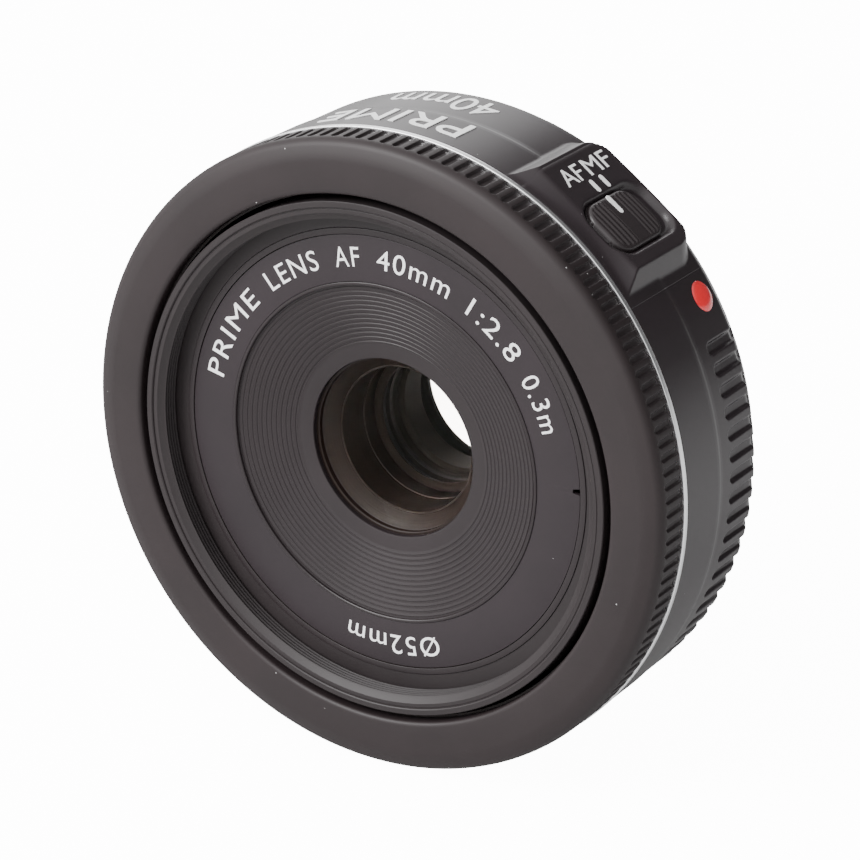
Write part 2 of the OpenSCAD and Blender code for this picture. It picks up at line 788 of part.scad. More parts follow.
module rotation_sensors() {
    color([0.16, 0.16, 0.17]) for (a = sensor_angles)
        arc(barrel_in_r - seat_gap, barrel_in_r - 1, skirt_rear_z - encoder_t - 2.6,
            skirt_rear_z - encoder_t - 0.3, a - 3, a + 3);
}

module switch_board() {
    color([0.12, 0.36, 0.20])
        arc(barrel_in_r - seat_gap, barrel_in_r - 0.3, stem_z0 - 3.54, skirt_rear_z - encoder_t - 0.4,
            knob_angle + 3, knob_angle + 13);
}

// ---- focus ring ----

// Outline of the knurl: shallow flat-bottomed grooves between lands.
knurl_share = 0.44;
knurl_outline = [
    for (i = [0 : knurl_count - 1]) let (pitch = 360 / knurl_count, a = i * pitch)
        each [
            polar(barrel_r - 0.02, a - pitch * (1 - knurl_share) / 2),
            polar(barrel_r - 0.02, a + pitch * (1 - knurl_share) / 2),
            polar(barrel_r - knurl_depth, a + pitch * (1 - knurl_share) / 2 + pitch * 0.06),
            polar(barrel_r - knurl_depth, a + pitch * (1 + knurl_share) / 2 - pitch * 0.06)
        ]
];

ring_shoulder_z = front_z - 1.5;
ring_face_r = barrel_r - 0.9;

module focus_ring() {
    color([0.17, 0.16, 0.165]) difference() {
        union() {
            // knurled band
            translate([0, 0, ring_back_z]) linear_extrude(ring_shoulder_z - ring_back_z)
                polygon(knurl_outline);
            // rounded shoulder and front face
            rotate_extrude() polygon([
                [0, ring_shoulder_z],
                [barrel_r - 0.06, ring_shoulder_z],
                [barrel_r - 0.1, ring_shoulder_z + 0.5],
                [barrel_r - 0.35, ring_shoulder_z + 1],
                [ring_face_r, front_z - 0.12],
                [ring_face_r - 1.1, front_z],
                [0, front_z]
            ]);
            ring(skirt_out_r, skirt_in_r, skirt_rear_z, ring_back_z + 0.5);
            // snap hooks behind the land of the barrel
            for (a = [30, 150, 270])
                arc(skirt_out_r + 0.35, skirt_in_r + skirt_wall / 2, skirt_rear_z + face_gap,
                    skirt_rear_z + 0.5, a - 10, a + 10);
        }
        rod(skirt_in_r, skirt_rear_z - 1, ring_flange_z);
        rod(ring_lip_r, ring_flange_z - 1, front_z + 1);
        // rounded inner lip
        rotate_extrude() polygon([
            [ring_lip_r - 0.1, front_z + 0.1],
            [ring_lip_r + 0.35, front_z + 0.1],
            [ring_lip_r, front_z - 0.35],
            [ring_lip_r - 0.1, front_z - 0.35]
        ]);
    }
}

encoder_slots = 36;

module encoder_ring() {
    color([0.75, 0.75, 0.76]) difference() {
        ring(skirt_out_r - 0.05, skirt_in_r + 0.1, skirt_rear_z - encoder_t, skirt_rear_z);
        for (i = [0 : encoder_slots - 1]) at_clock(i * 360 / encoder_slots)
            translate([-1.1, skirt_in_r - 1, skirt_rear_z - encoder_t - 1])
                cube([2.2, skirt_wall + 2, 1.4]);
    }
}

// ---- switch ----

knob_top = panel_top + 0.15;
knob_corner = 2.1;

module switch_knob() {
    color([0.14, 0.14, 0.15]) at_clock(panel_angle) translate([knob_x, 0, 0]) difference() {
        union() {
            translate([-knob_w / 2 + knob_corner, recess_floor + 0.05, knob_z0])
                cube([knob_w - 2 * knob_corner, knob_top - recess_floor - 0.05, knob_len]);
            translate([-knob_w / 2, recess_floor + 0.05, knob_z0 + knob_corner])
                cube([knob_w, knob_top - recess_floor - 0.05, knob_len - 2 * knob_corner]);
            for (side = [-1, 1], z = [knob_z0 + knob_corner, knob_z1 - knob_corner])
                translate([side * (knob_w / 2 - knob_corner), 0, z])
                    radial_rod(knob_corner, recess_floor + 0.05, knob_top);
            translate([-stem_w / 2, barrel_in_r - 1, stem_z0])
                cube([stem_w, 2.4, stem_len]);
        }
        // finger grooves either side of the middle
        for (z = [-3.5, -2.8, -2.1, -1.4, 1.4, 2.1, 2.8, 3.5])
            translate([-knob_w / 2 - 1, knob_top - 0.2, knob_z0 + knob_len / 2 + z - 0.17])
                cube([knob_w + 2, 1, 0.34]);
    }
}

module switch_wiper() {
    color([0.80, 0.66, 0.35]) at_clock(panel_angle) translate([knob_x, 0, 0])
        translate([-stem_w / 2 - 0.6, barrel_in_r - 1.25, stem_z0 - 0.3])
            cube([stem_w + 2.4, 0.25, stem_len + 0.6]);
}

// ---- moving optical unit ----

rim_r = name_r + 0.08;
rim_out_r = 24.1;

module inner_barrel() {
    color([0.11, 0.11, 0.12]) difference() {
        union() {
            ring(tube_out_r, tube_in_r, tube_rear_z, tube_front_z);
            ring(tube_in_r + 0.1, web_bore_r, web_z0, web_z1);
            ring(rim_out_r, rim_r, web_z1 - 0.1, name_z + 0.05);
            ring(baffle_r + 2.2, baffle_r + 0.6, web_z1 - 0.1, name_z - name_t);
            for (a = iris_post_angles) at_clock(a, iris_post_r)
                rod(1.3, iris_cover_z1, web_z0 + 0.1);
        }
        for (a = iris_post_angles) at_clock(a, iris_post_r)
            rod(0.5, iris_cover_z1 - 1, web_z0 - 0.6);
        for (a = follower_angles) at_clock(a, 0, cam_slot_z0)
            radial_rod(follower_r + 0.02, tube_in_r - 1, tube_out_r + 1);
    }
}

module follower_pins() {
    color([0.85, 0.85, 0.80]) for (a = follower_angles) at_clock(a, 0, cam_slot_z0)
        radial_rod(follower_r, tube_in_r, cam_out_r - 0.15);
}

filter_crest_r = filter_d / 2 - 0.41;
filter_root_r = filter_d / 2;
thread_turns = 4;

module filter_ring() {
    color([0.12, 0.12, 0.13]) difference() {
        union() {
            ring(tube_out_r, filter_crest_r, tube_front_z, filter_front_z);
            ring(tube_in_r - face_gap, rim_out_r + 0.06, web_z1 + 0.6, tube_front_z + 0.1);
        }
        rod(filter_crest_r, name_z, filter_front_z + 1);
        // lead-in chamfer
        translate([0, 0, filter_front_z - 0.4])
            cylinder(r1 = filter_crest_r, r2 = filter_crest_r + 0.6, h = 0.41);
        for (i = [0 : thread_turns - 1]) thread_groove(name_z + 0.15 + (i + 0.5) * filter_pitch * 0.8);
    }
}

module thread_groove(z) {
    half = filter_pitch * 0.3;
    rotate_extrude() polygon([
        [filter_crest_r - 0.1, z - half - 0.07],
        [filter_root_r, z - 0.06],
        [filter_root_r, z + 0.06],
        [filter_crest_r - 0.1, z + half + 0.07]
    ]);
}

module name_ring() {
    color([0.20, 0.19, 0.195]) difference() {
        ring(name_r, baffle_r + 0.03, name_z - name_t, name_z);
        // spanner notch at 3 o'clock
        at_clock(90, name_r - 0.3) rod(0.5, name_z - 0.25, name_z + 1);
    }
}

baffle_steps = 13;
baffle_flat_r = 11.2;

module stepped_baffle() {
    top = name_z + 0.05;
    pitch = (baffle_r - 0.3 - baffle_flat_r) / baffle_steps;
    fall = (baffle_drop - 0.25) / baffle_steps;
    groove = 0.12;
    color([0.09, 0.09, 0.09]) rotate_extrude() polygon(concat(
        [[opening_r, web_z1 + 0.05], [baffle_r, web_z1 + 0.05], [baffle_r, top]],
        [[baffle_r - 0.3, top]],
        [for (i = [0 : baffle_steps - 1]) let (r = baffle_r - 0.3 - i * pitch, z = top - i * fall)
            each [[r, z - groove - fall], [r - pitch * 0.45, z - groove - fall],
                [r - pitch * 0.6, z - fall], [r - pitch, z - fall]]],
        [[baffle_flat_r, name_z - baffle_drop + 0.12], [opening_r, name_z - baffle_drop + 0.05]]
    ));
}

cell_shoulder_z = front_vertex_z - 4;
iris_clear_z = iris_ring_z0 + 0.25;

module front_cell() {
    color([0.08, 0.08, 0.09]) difference() {
        union() {
            rod(web_bore_r - 0.06, cell_shoulder_z - 0.9, web_z1);
            rod(14, web_z0 - 0.85, web_z0);
            rod(mid_rim_r + 1.2, iris_clear_z, cell_shoulder_z);
        }
        rod(front_rim_r + 0.06, cell_shoulder_z, web_z1 + 1);
        rod(mid_rim_r + 0.04, iris_clear_z + 0.25, cell_shoulder_z + 1);
        rod(mid_rim_r - 0.6, iris_clear_z - 1, cell_shoulder_z);
    }
}

module front_element() {
    color([0.75, 0.85, 0.80, 0.5])
        element(front_rim_r, front_vertex_z, 22, front_vertex_z - 2.4, 45);
}

module spacer_ring() {
    color([0.07, 0.07, 0.07])
        ring(front_rim_r, mid_rim_r + 0.4, cell_shoulder_z, front_vertex_z - 3.42);
}

module second_element() {
    color([0.75, 0.80, 0.88, 0.5])
        element(mid_rim_r, front_vertex_z - 2.8, 24, front_vertex_z - 5.4, -40);
}

module third_element() {
    color([0.80, 0.78, 0.88, 0.5])
        element(mid_rim_r, front_vertex_z - 5.42, -40, front_vertex_z - 6.3, 14);
}

// ---- iris ----

module iris_ears(z0, z1) {
    for (a = iris_post_angles) at_clock(a) {
        translate([-1.3, iris_wall_out_r - 0.7, z0])
            cube([2.6, iris_post_r - iris_wall_out_r + 0.7, z1 - z0]);
        translate([0, iris_post_r, 0]) rod(1.5, z0, z1);
    }
}

function pivot_angle(i) = i * 360 / blade_count;

module iris_housing() {
    color([0.10, 0.10, 0.11]) difference() {
        union() {
            ring(iris_wall_out_r, iris_open_r, iris_base_z0, iris_base_z1);
            ring(iris_wall_out_r, iris_wall_in_r, iris_base_z0, iris_cover_z0);
            iris_ears(iris_cover_z0 - 0.8, iris_cover_z0);
        }
        for (i = [0 : blade_count - 1]) rotate([0, 0, pivot_angle(i)])
            translate([pivot_circle_r, 0, 0])
                rod(blade_pin_r + 0.05, iris_base_z0 + 0.1, iris_base_z1 + 1);
        // room for the toothed stretch of the driving ring and for the pinion
        arc(iris_pitch_r + 0.5, iris_wall_in_r - 1, iris_ring_z0 - 0.15, iris_cover_z0 + 1,
            iris_motor_angle - iris_teeth_to, iris_motor_angle + iris_teeth_to);
        at_clock(iris_motor_angle, iris_motor_r)
            rod(iris_pinion_pitch_r + 0.5, iris_ring_z0 - 0.15, iris_cover_z0 + 1);
        for (a = iris_post_angles) at_clock(a, iris_post_r)
            rod(0.55, iris_cover_z0 - 2, iris_cover_z0 + 1);
    }
}

iris_teeth_to = 42;

collar_r = iris_ring_in_r - run_gap;

module iris_cover() {
    color([0.13, 0.13, 0.14]) difference() {
        union() {
            // plate with the collar that the driving ring turns on
            rotate_extrude() polygon([
                [mid_rim_r + 1.4, iris_cover_z0],
                [collar_r - 0.7, iris_cover_z0],
                [collar_r - 0.7, iris_ring_z0 + 0.1],
                [collar_r, iris_ring_z0 + 0.1],
                [collar_r, iris_cover_z0],
                [iris_wall_out_r, iris_cover_z0],
                [iris_wall_out_r, iris_cover_z1],
                [mid_rim_r + 1.4, iris_cover_z1]
            ]);
            iris_ears(iris_cover_z0 + face_gap, iris_cover_z1 - face_gap);
            at_clock(iris_motor_angle, iris_motor_r)
                rod(iris_motor_d / 2, iris_cover_z0 + face_gap, iris_cover_z1);
        }
        at_clock(iris_motor_angle, iris_motor_r) rod(0.8, iris_cover_z0 - 1, iris_cover_z1 + 1);
        for (a = iris_post_angles) at_clock(a, iris_post_r)
            rod(0.55, iris_cover_z0 - 1, iris_cover_z1 + 1);
    }
}

module iris_motor() {
    color([0.62, 0.62, 0.60]) at_clock(iris_motor_angle, iris_motor_r) difference() {
        rod(iris_motor_d / 2, iris_cover_z1, web_z0 - 0.15);
        rod(0.3 + 0.05, iris_cover_z1 - 1, iris_cover_z1 + 1.6);
    }
}

module iris_unit_screws() {
    color([0.55, 0.55, 0.57]) for (a = iris_post_angles)
        at_clock(a, iris_post_r, iris_cover_z0 - 1.3) screw(0.9, 0.5, 0.47, 5);
}

module iris_drive_ring() {
    color([0.22, 0.22, 0.24]) difference() {
        union() {
            ring(iris_ring_r, iris_ring_in_r, iris_ring_z0, iris_ring_z1);
            iris_ring_sector();
        }
        for (i = [0 : blade_count - 1]) rotate([0, 0, pivot_angle(i)])
            translate([0, 0, iris_ring_z0 - 1]) linear_extrude(iris_ring_t + 2) drive_slot();
    }
}

// Teeth on the stretch that passes the pinion as the ring turns anticlockwise.
module iris_ring_sector() {
    intersection() {
        translate([0, 0, iris_ring_z0]) linear_extrude(iris_ring_t) difference() {
            rotate([0, 0, gap_facing(iris_ring_teeth, 90 - iris_motor_angle)])
                spur(iris_ring_teeth, iris_pitch_r, iris_module);
            circle(r = iris_ring_r - 0.4);
        }
        arc(iris_pitch_r + 1, iris_ring_r - 1, iris_ring_z0 - 1, iris_ring_z1 + 1,
            iris_motor_angle - 10, iris_motor_angle + 10 + iris_turn);
    }
}

// Place of a blade's driving pin in the ring's own frame, at a share of the travel.
function drive_point(t) = let (
    swing = drive_lead + blade_turn * t,
    p = [pivot_circle_r + drive_arm * cos(swing), drive_arm * sin(swing)],
    back = -iris_turn * t
) [p.x * cos(back) - p.y * sin(back), p.x * sin(back) + p.y * cos(back)];

module drive_slot() {
    steps = 4;
    half = blade_pin_r + 0.09;
    for (i = [0 : steps - 1]) let (
        p = drive_point(i / steps), q = drive_point((i + 1) / steps),
        away = [-(q - p).y, (q - p).x] / norm(q - p) * half
    ) polygon([p + away, q + away, q - away, p - away]);
    for (i = [0 : steps]) translate(drive_point(i / steps)) circle(r = half, $fn = 24);
}

module iris_pinion() {
    color([0.85, 0.80, 0.60]) at_clock(iris_motor_angle, iris_motor_r) union() {
        translate([0, 0, iris_ring_z0]) linear_extrude(iris_ring_t)
            rotate([0, 0, -90]) spur(iris_pinion_teeth, iris_pinion_pitch_r, iris_module);
        rod(0.3, iris_ring_z0, iris_cover_z1 + 1.5);
    }
}

blade_reach = 122;

module blade_wedge(from, to) {
    reach = pivot_circle_r * 4;
    polygon(concat([[0, 0]], [for (i = [0 : 4]) polar(reach, from + (to - from) * i / 4)]));
}

// A thin crescent with a heel that carries the pivot pin and the driving pin.
module iris_blade(i) {
    z0 = blade_z0 + i * blade_step;
    color([0.16, 0.16, 0.17]) rotate([0, 0, pivot_angle(i)]) {
        translate([0, 0, z0]) linear_extrude(blade_t) {
            intersection() {
                difference() {
                    circle(r = blade_out_r);
                    circle(r = blade_in_r);
                }
                blade_wedge(-3.6, blade_reach);
            }
            intersection() {
                difference() {
                    circle(r = pivot_circle_r + 1.05);
                    circle(r = blade_out_r - 0.4);
                }
                blade_wedge(-3.6, 8.8);
            }
        }
        translate([pivot_circle_r, 0, 0]) rod(blade_pin_r, iris_base_z0 + 0.15, z0 + blade_t);
        translate([pivot_circle_r + drive_arm * cos(drive_lead), drive_arm * sin(drive_lead), 0])
            rod(blade_pin_r, z0, iris_ring_z1 - 0.05);
    }
}

// ---- rear group ----

rear_cell_z1 = iris_base_z0;
rear_cell_step_z = rear_cell_z1 - 5.2;

module rear_cell() {
    color([0.08, 0.08, 0.09]) difference() {
        union() {
            rod(14, rear_cell_z1 - 0.8, rear_cell_z1);
            rod(rear_rim_r + 1.3, rear_cell_step_z - 0.5, rear_cell_z1);
            rod(last_rim_r + 1.3, rear_cell_step_z - 3.1, rear_cell_step_z + 0.9);
        }
        rod(rear_rim_r + 0.05, rear_cell_step_z + 0.6, rear_cell_z1 + 1);
        rod(rear_rim_r - 0.5, rear_cell_step_z - 4, rear_cell_z1 + 1);
        rod(last_rim_r + 0.05, rear_cell_step_z - 4, rear_cell_step_z);
    }
}

module fourth_element() {
    color([0.80, 0.80, 0.86, 0.5])
        element(rear_rim_r, rear_cell_z1 - 1.3, -24, rear_cell_z1 - 2.4, 26);
}

module fifth_element() {
    color([0.78, 0.86, 0.80, 0.5])
        element(rear_rim_r, rear_cell_z1 - 2.42, 26, rear_cell_z1 - 5.8, -18);
}

module rear_element() {
    color([0.78, 0.84, 0.86, 0.5])
        element(last_rim_r, rear_cell_z1 - 6.8, -30, rear_cell_z1 - 8.4, -22);
}

module rear_retaining_ring() {
    color([0.07, 0.07, 0.07])
        ring(last_rim_r, last_rim_r - 1.2, rear_cell_step_z - 2.6, rear_cell_step_z - 1.65);
}

place() main_barrel();
place() trim_ring();
place() index_dot();
place() bayonet_mount();
place() mount_screws();
place() rear_light_baffle();
place() contact_block();
place() contact_pins();
place() guide_barrel();
place() guide_screws();
place() cam_ring_retainer();
place() circuit_board();
place() circuit_chips();
place() focus_motor();
place() motor_bracket();
place() bracket_screws();
place() gear_shaft();
place() service_flex();
place() rotation_sensors();
place() switch_board();
place() focus_ring();
place() encoder_ring();
place() switch_knob();
place() switch_wiper();
place() cam_ring();
place() reduction_gear();
place() motor_pinion();
place() inner_barrel();
place() follower_pins();
place() filter_ring();
place() name_ring();
place() stepped_baffle();
place() front_cell();
place() front_element();
place() spacer_ring();
place() second_element();
place() third_element();
place() iris_housing();
place() iris_cover();
place() iris_motor();
place() iris_unit_screws();
place() rear_cell();
place() fourth_element();
place() fifth_element();
place() rear_element();
place() rear_retaining_ring();
place() iris_drive_ring();
place() iris_pinion();
place() iris_blade(0);  // iris_blade_1
place() iris_blade(1);  // iris_blade_2
place() iris_blade(2);  // iris_blade_3
place() iris_blade(3);  // iris_blade_4
place() iris_blade(4);  // iris_blade_5
place() iris_blade(5);  // iris_blade_6
place() iris_blade(6);  // iris_blade_7
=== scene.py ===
"""Looks for the low autofocus prime lens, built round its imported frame."""

import math

import bmesh
import bpy
import numpy as np
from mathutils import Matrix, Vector


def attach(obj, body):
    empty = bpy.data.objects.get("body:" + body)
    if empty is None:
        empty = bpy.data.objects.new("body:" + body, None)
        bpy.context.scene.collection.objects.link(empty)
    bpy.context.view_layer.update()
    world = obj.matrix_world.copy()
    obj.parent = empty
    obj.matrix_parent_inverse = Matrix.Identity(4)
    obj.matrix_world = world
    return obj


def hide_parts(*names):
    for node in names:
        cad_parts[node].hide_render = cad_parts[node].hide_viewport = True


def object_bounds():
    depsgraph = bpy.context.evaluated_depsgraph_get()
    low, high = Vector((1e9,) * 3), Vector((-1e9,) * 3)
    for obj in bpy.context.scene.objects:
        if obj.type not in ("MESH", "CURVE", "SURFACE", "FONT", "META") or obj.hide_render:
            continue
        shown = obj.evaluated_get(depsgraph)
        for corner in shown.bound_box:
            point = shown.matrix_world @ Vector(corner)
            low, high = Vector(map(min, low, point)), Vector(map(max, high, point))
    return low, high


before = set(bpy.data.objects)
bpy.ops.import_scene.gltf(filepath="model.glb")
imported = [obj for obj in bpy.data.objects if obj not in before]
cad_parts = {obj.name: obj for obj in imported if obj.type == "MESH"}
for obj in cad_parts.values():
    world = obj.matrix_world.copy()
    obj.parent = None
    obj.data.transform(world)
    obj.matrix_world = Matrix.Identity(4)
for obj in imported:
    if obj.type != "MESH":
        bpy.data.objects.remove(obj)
cad_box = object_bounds()

MM = 0.001

# ---- sizes in millimetres; z is the height above the bayonet flange ----
BARREL_R = 34.0
BARREL_FRONT = 17.2
CREASE_Z = 10.3
RING_BACK = 17.95
RING_FRONT = 22.8
RING_R = 34.0
PANEL_ANGLE = 39.2
PANEL_TOP = 34.5
PANEL_LEFT, PANEL_RIGHT = -7.0, 7.2
PANEL_REAR, PANEL_FRONT = 2.3, 17.0
PANEL_CORNER = 3.0
PANEL_BLEND = 0.22
RECESS_U, RECESS_V = 2.13, 8.85
RECESS_HALF_U, RECESS_HALF_V = 3.5, 5.75
RECESS_CORNER = 2.4
SLOT_V = 8.33
SLOT_HALF_U, SLOT_HALF_V, SLOT_CORNER = 1.25, 2.2, 0.2
SLOT_DEPTH = 1.1
KNOB_Z = 9.53
KNOB_FOOT = 33.95
KNOB_SKIRT = 0.2
SEAM_ANGLE = 56.0
SEAM_DEPTH = 0.03
GROOVE_PITCH = 3.83
GROOVE_COUNT = 60
FIRST_GROOVE = 66.7 + GROOVE_PITCH / 2
GROOVE_END = 8.1
GROOVE_HALF = 0.74
GROOVE_DEPTH, GROOVE_EXTRA = 0.34, 0.12
NAME_Z = 19.85


# ---- meshes ----


def to_row(points):
    """Turns x right, y up, z forward in millimetres into the frame's metres."""
    p = np.asarray(points, float).reshape(-1, 3)
    return np.column_stack([p[:, 0], -p[:, 2], p[:, 1]]) * MM


def on_clock(radius, angle, z):
    """Points at clock angles in degrees, clockwise from the top seen from the front."""
    a = np.radians(angle)
    shape = np.broadcast(radius, angle, z).shape
    return np.stack(
        [radius * np.sin(a), radius * np.cos(a), np.broadcast_to(z, shape)], axis=-1
    )


def on_panel(u, h, z, angle=PANEL_ANGLE):
    """Points on a plane across a clock angle: u clockwise, h outwards, z forwards."""
    a = math.radians(angle)
    shape = np.broadcast(u, h, z).shape
    return np.stack(
        [
            u * math.cos(a) + h * math.sin(a),
            -u * math.sin(a) + h * math.cos(a),
            np.broadcast_to(z, shape),
        ],
        axis=-1,
    )


def add_piece(name, points, faces, material, body, sharp=35, tidy=True):
    """Makes a smooth-shaded piece that rides on a body; edges past the angle stay sharp."""
    mesh = bpy.data.meshes.new(name)
    mesh.from_pydata(to_row(points).tolist(), [], faces)
    if tidy:
        bm = bmesh.new()
        bm.from_mesh(mesh)
        bmesh.ops.recalc_face_normals(bm, faces=bm.faces)
        bm.to_mesh(mesh)
        bm.free()
    mesh.shade_smooth()
    mesh.set_sharp_from_angle(angle=math.radians(sharp))
    mesh.materials.append(material)
    piece = bpy.data.objects.new(name, mesh)
    bpy.context.collection.objects.link(piece)
    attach(piece, body)
    return piece


def grid_faces(rows, cols, wrap_rows=False, wrap_cols=True):
    """Quads of a grid of points numbered row by row."""
    i, j = np.meshgrid(
        np.arange(rows if wrap_rows else rows - 1),
        np.arange(cols if wrap_cols else cols - 1),
        indexing="ij",
    )
    i2, j2 = (i + 1) % rows, (j + 1) % cols
    quads = np.stack([i * cols + j, i * cols + j2, i2 * cols + j2, i2 * cols + j], -1)
    return quads.reshape(-1, 4).tolist()


def soften(outline, radius, steps=3):
    """Rounds the corners of a closed outline of (radius, height) points."""
    pts = [np.array(p, float) for p in outline]
    out = []
    for k, here in enumerate(pts):
        before, after = pts[k - 1], pts[(k + 1) % len(pts)]
        d1, d2 = before - here, after - here
        l1, l2 = np.linalg.norm(d1), np.linalg.norm(d2)
        cut = min(radius, 0.4 * l1, 0.4 * l2)
        a, b = here + d1 / l1 * cut, here + d2 / l2 * cut
        for t in np.linspace(0, 1, steps + 1):
            out.append((1 - t) ** 2 * a + 2 * t * (1 - t) * here + t * t * b)
    return [tuple(p) for p in out]


def turned(name, outline, material, body, steps=192, sharp=35):
    """Turns a closed outline of (radius, height) points round the optical axis."""
    angles = np.arange(steps) * 360 / steps
    points, faces, table = [], [], []
    for r, z in outline:
        if r < 1e-6:
            table.append([len(points)] * steps)
            points.append((0, 0, z))
        else:
            table.append(list(range(len(points), len(points) + steps)))
            points.extend(on_clock(r, angles, z).tolist())
    for k, low in enumerate(table):
        high = table[(k + 1) % len(table)]
        for j in range(steps):
            loop = [low[j], low[(j + 1) % steps], high[(j + 1) % steps], high[j]]
            loop = list(dict.fromkeys(loop))
            if len(loop) > 2:
                faces.append(loop)
    return add_piece(name, points, faces, material, body, sharp)


def smooth_min(a, b, k):
    """The smaller of two values, with the corner between them rounded over k."""
    h = np.clip(0.5 + 0.5 * (b - a) / k, 0, 1)
    return b + (a - b) * h - k * h * (1 - h)


def smooth_max(a, b, k):
    """The larger of two values, rounded in the same way."""
    return -smooth_min(-a, -b, k)


def fade(x, low, high):
    """Smooth step from 0 at low to 1 at high."""
    t = np.clip((x - low) / (high - low), 0, 1)
    return t * t * (3 - 2 * t)


def rounded_rectangle(u, v, half_u, half_v, corner):
    """Signed distance to a rounded rectangle, negative inside."""
    du = np.abs(u) - (half_u - corner)
    dv = np.abs(v) - (half_v - corner)
    outside = np.hypot(np.maximum(du, 0), np.maximum(dv, 0))
    return outside + np.minimum(np.maximum(du, dv), 0) - corner


# ---- materials ----


def node_group(name, inputs, outputs):
    """A shader group with named number inputs, and its two ends."""
    group = bpy.data.node_groups.new(name, "ShaderNodeTree")
    for label, value in inputs:
        socket = group.interface.new_socket(
            label, in_out="INPUT", socket_type="NodeSocketFloat"
        )
        socket.default_value = value
    for label, kind in outputs:
        group.interface.new_socket(label, in_out="OUTPUT", socket_type=kind)
    enter = group.nodes.new("NodeGroupInput")
    leave = group.nodes.new("NodeGroupOutput")
    return group, enter, leave


def make_grain_group():
    """Fine moulded or painted grain: a height, and a mask of broad, faint variation."""
    group, enter, leave = node_group(
        "fine_grain",
        [("Grain Scale", 3000.0), ("Mottle Scale", 90.0)],
        [("Height", "NodeSocketFloat"), ("Mottle", "NodeSocketFloat")],
    )
    where = group.nodes.new("ShaderNodeTexCoord")
    for label, detail, out in (
        ("Grain Scale", 3.0, "Height"),
        ("Mottle Scale", 4.0, "Mottle"),
    ):
        noise = group.nodes.new("ShaderNodeTexNoise")
        noise.inputs["Detail"].default_value = detail
        group.links.new(where.outputs["Object"], noise.inputs["Vector"])
        group.links.new(enter.outputs[label], noise.inputs["Scale"])
        group.links.new(noise.outputs["Fac"], leave.inputs[out])
    return group


def make_dust_group():
    """Sparse specks of dust as a mask; a smaller Spread leaves fewer and finer specks."""
    group, enter, leave = node_group(
        "dust_specks",
        [("Cell Scale", 700.0), ("Spread", 0.05)],
        [("Mask", "NodeSocketFloat")],
    )
    where = group.nodes.new("ShaderNodeTexCoord")
    cells = group.nodes.new("ShaderNodeTexVoronoi")
    group.links.new(where.outputs["Object"], cells.inputs["Vector"])
    group.links.new(enter.outputs["Cell Scale"], cells.inputs["Scale"])
    near = group.nodes.new("ShaderNodeMath")
    near.operation = "LESS_THAN"
    group.links.new(cells.outputs["Distance"], near.inputs[0])
    group.links.new(enter.outputs["Spread"], near.inputs[1])
    patches = group.nodes.new("ShaderNodeTexNoise")
    patches.inputs["Scale"].default_value = 260.0
    group.links.new(where.outputs["Object"], patches.inputs["Vector"])
    few = group.nodes.new("ShaderNodeMath")
    few.operation = "GREATER_THAN"
    few.inputs[1].default_value = 0.58
    group.links.new(patches.outputs["Fac"], few.inputs[0])
    both = group.nodes.new("ShaderNodeMath")
    both.operation = "MULTIPLY"
    group.links.new(near.outputs[0], both.inputs[0])
    group.links.new(few.outputs[0], both.inputs[1])
    group.links.new(both.outputs[0], leave.inputs["Mask"])
    return group


def make_turning_group():
    """Fine lines round the optical axis, as a lathe leaves them."""
    group, enter, leave = node_group(
        "turning_lines",
        [("Line Scale", 9000.0)],
        [("Height", "NodeSocketFloat")],
    )
    where = group.nodes.new("ShaderNodeTexCoord")
    split = group.nodes.new("ShaderNodeSeparateXYZ")
    group.links.new(where.outputs["Object"], split.inputs[0])
    across = group.nodes.new("ShaderNodeCombineXYZ")
    group.links.new(split.outputs["X"], across.inputs["X"])
    group.links.new(split.outputs["Z"], across.inputs["Y"])
    reach = group.nodes.new("ShaderNodeVectorMath")
    reach.operation = "LENGTH"
    group.links.new(across.outputs[0], reach.inputs[0])
    pair = group.nodes.new("ShaderNodeCombineXYZ")
    group.links.new(reach.outputs["Value"], pair.inputs["X"])
    group.links.new(split.outputs["Y"], pair.inputs["Y"])
    noise = group.nodes.new("ShaderNodeTexNoise")
    noise.inputs["Detail"].default_value = 2.0
    group.links.new(pair.outputs[0], noise.inputs["Vector"])
    group.links.new(enter.outputs["Line Scale"], noise.inputs["Scale"])
    group.links.new(noise.outputs["Fac"], leave.inputs["Height"])
    return group


GRAIN = make_grain_group()
DUST = make_dust_group()
TURNING = make_turning_group()
CLEAR_IOR = 1.0


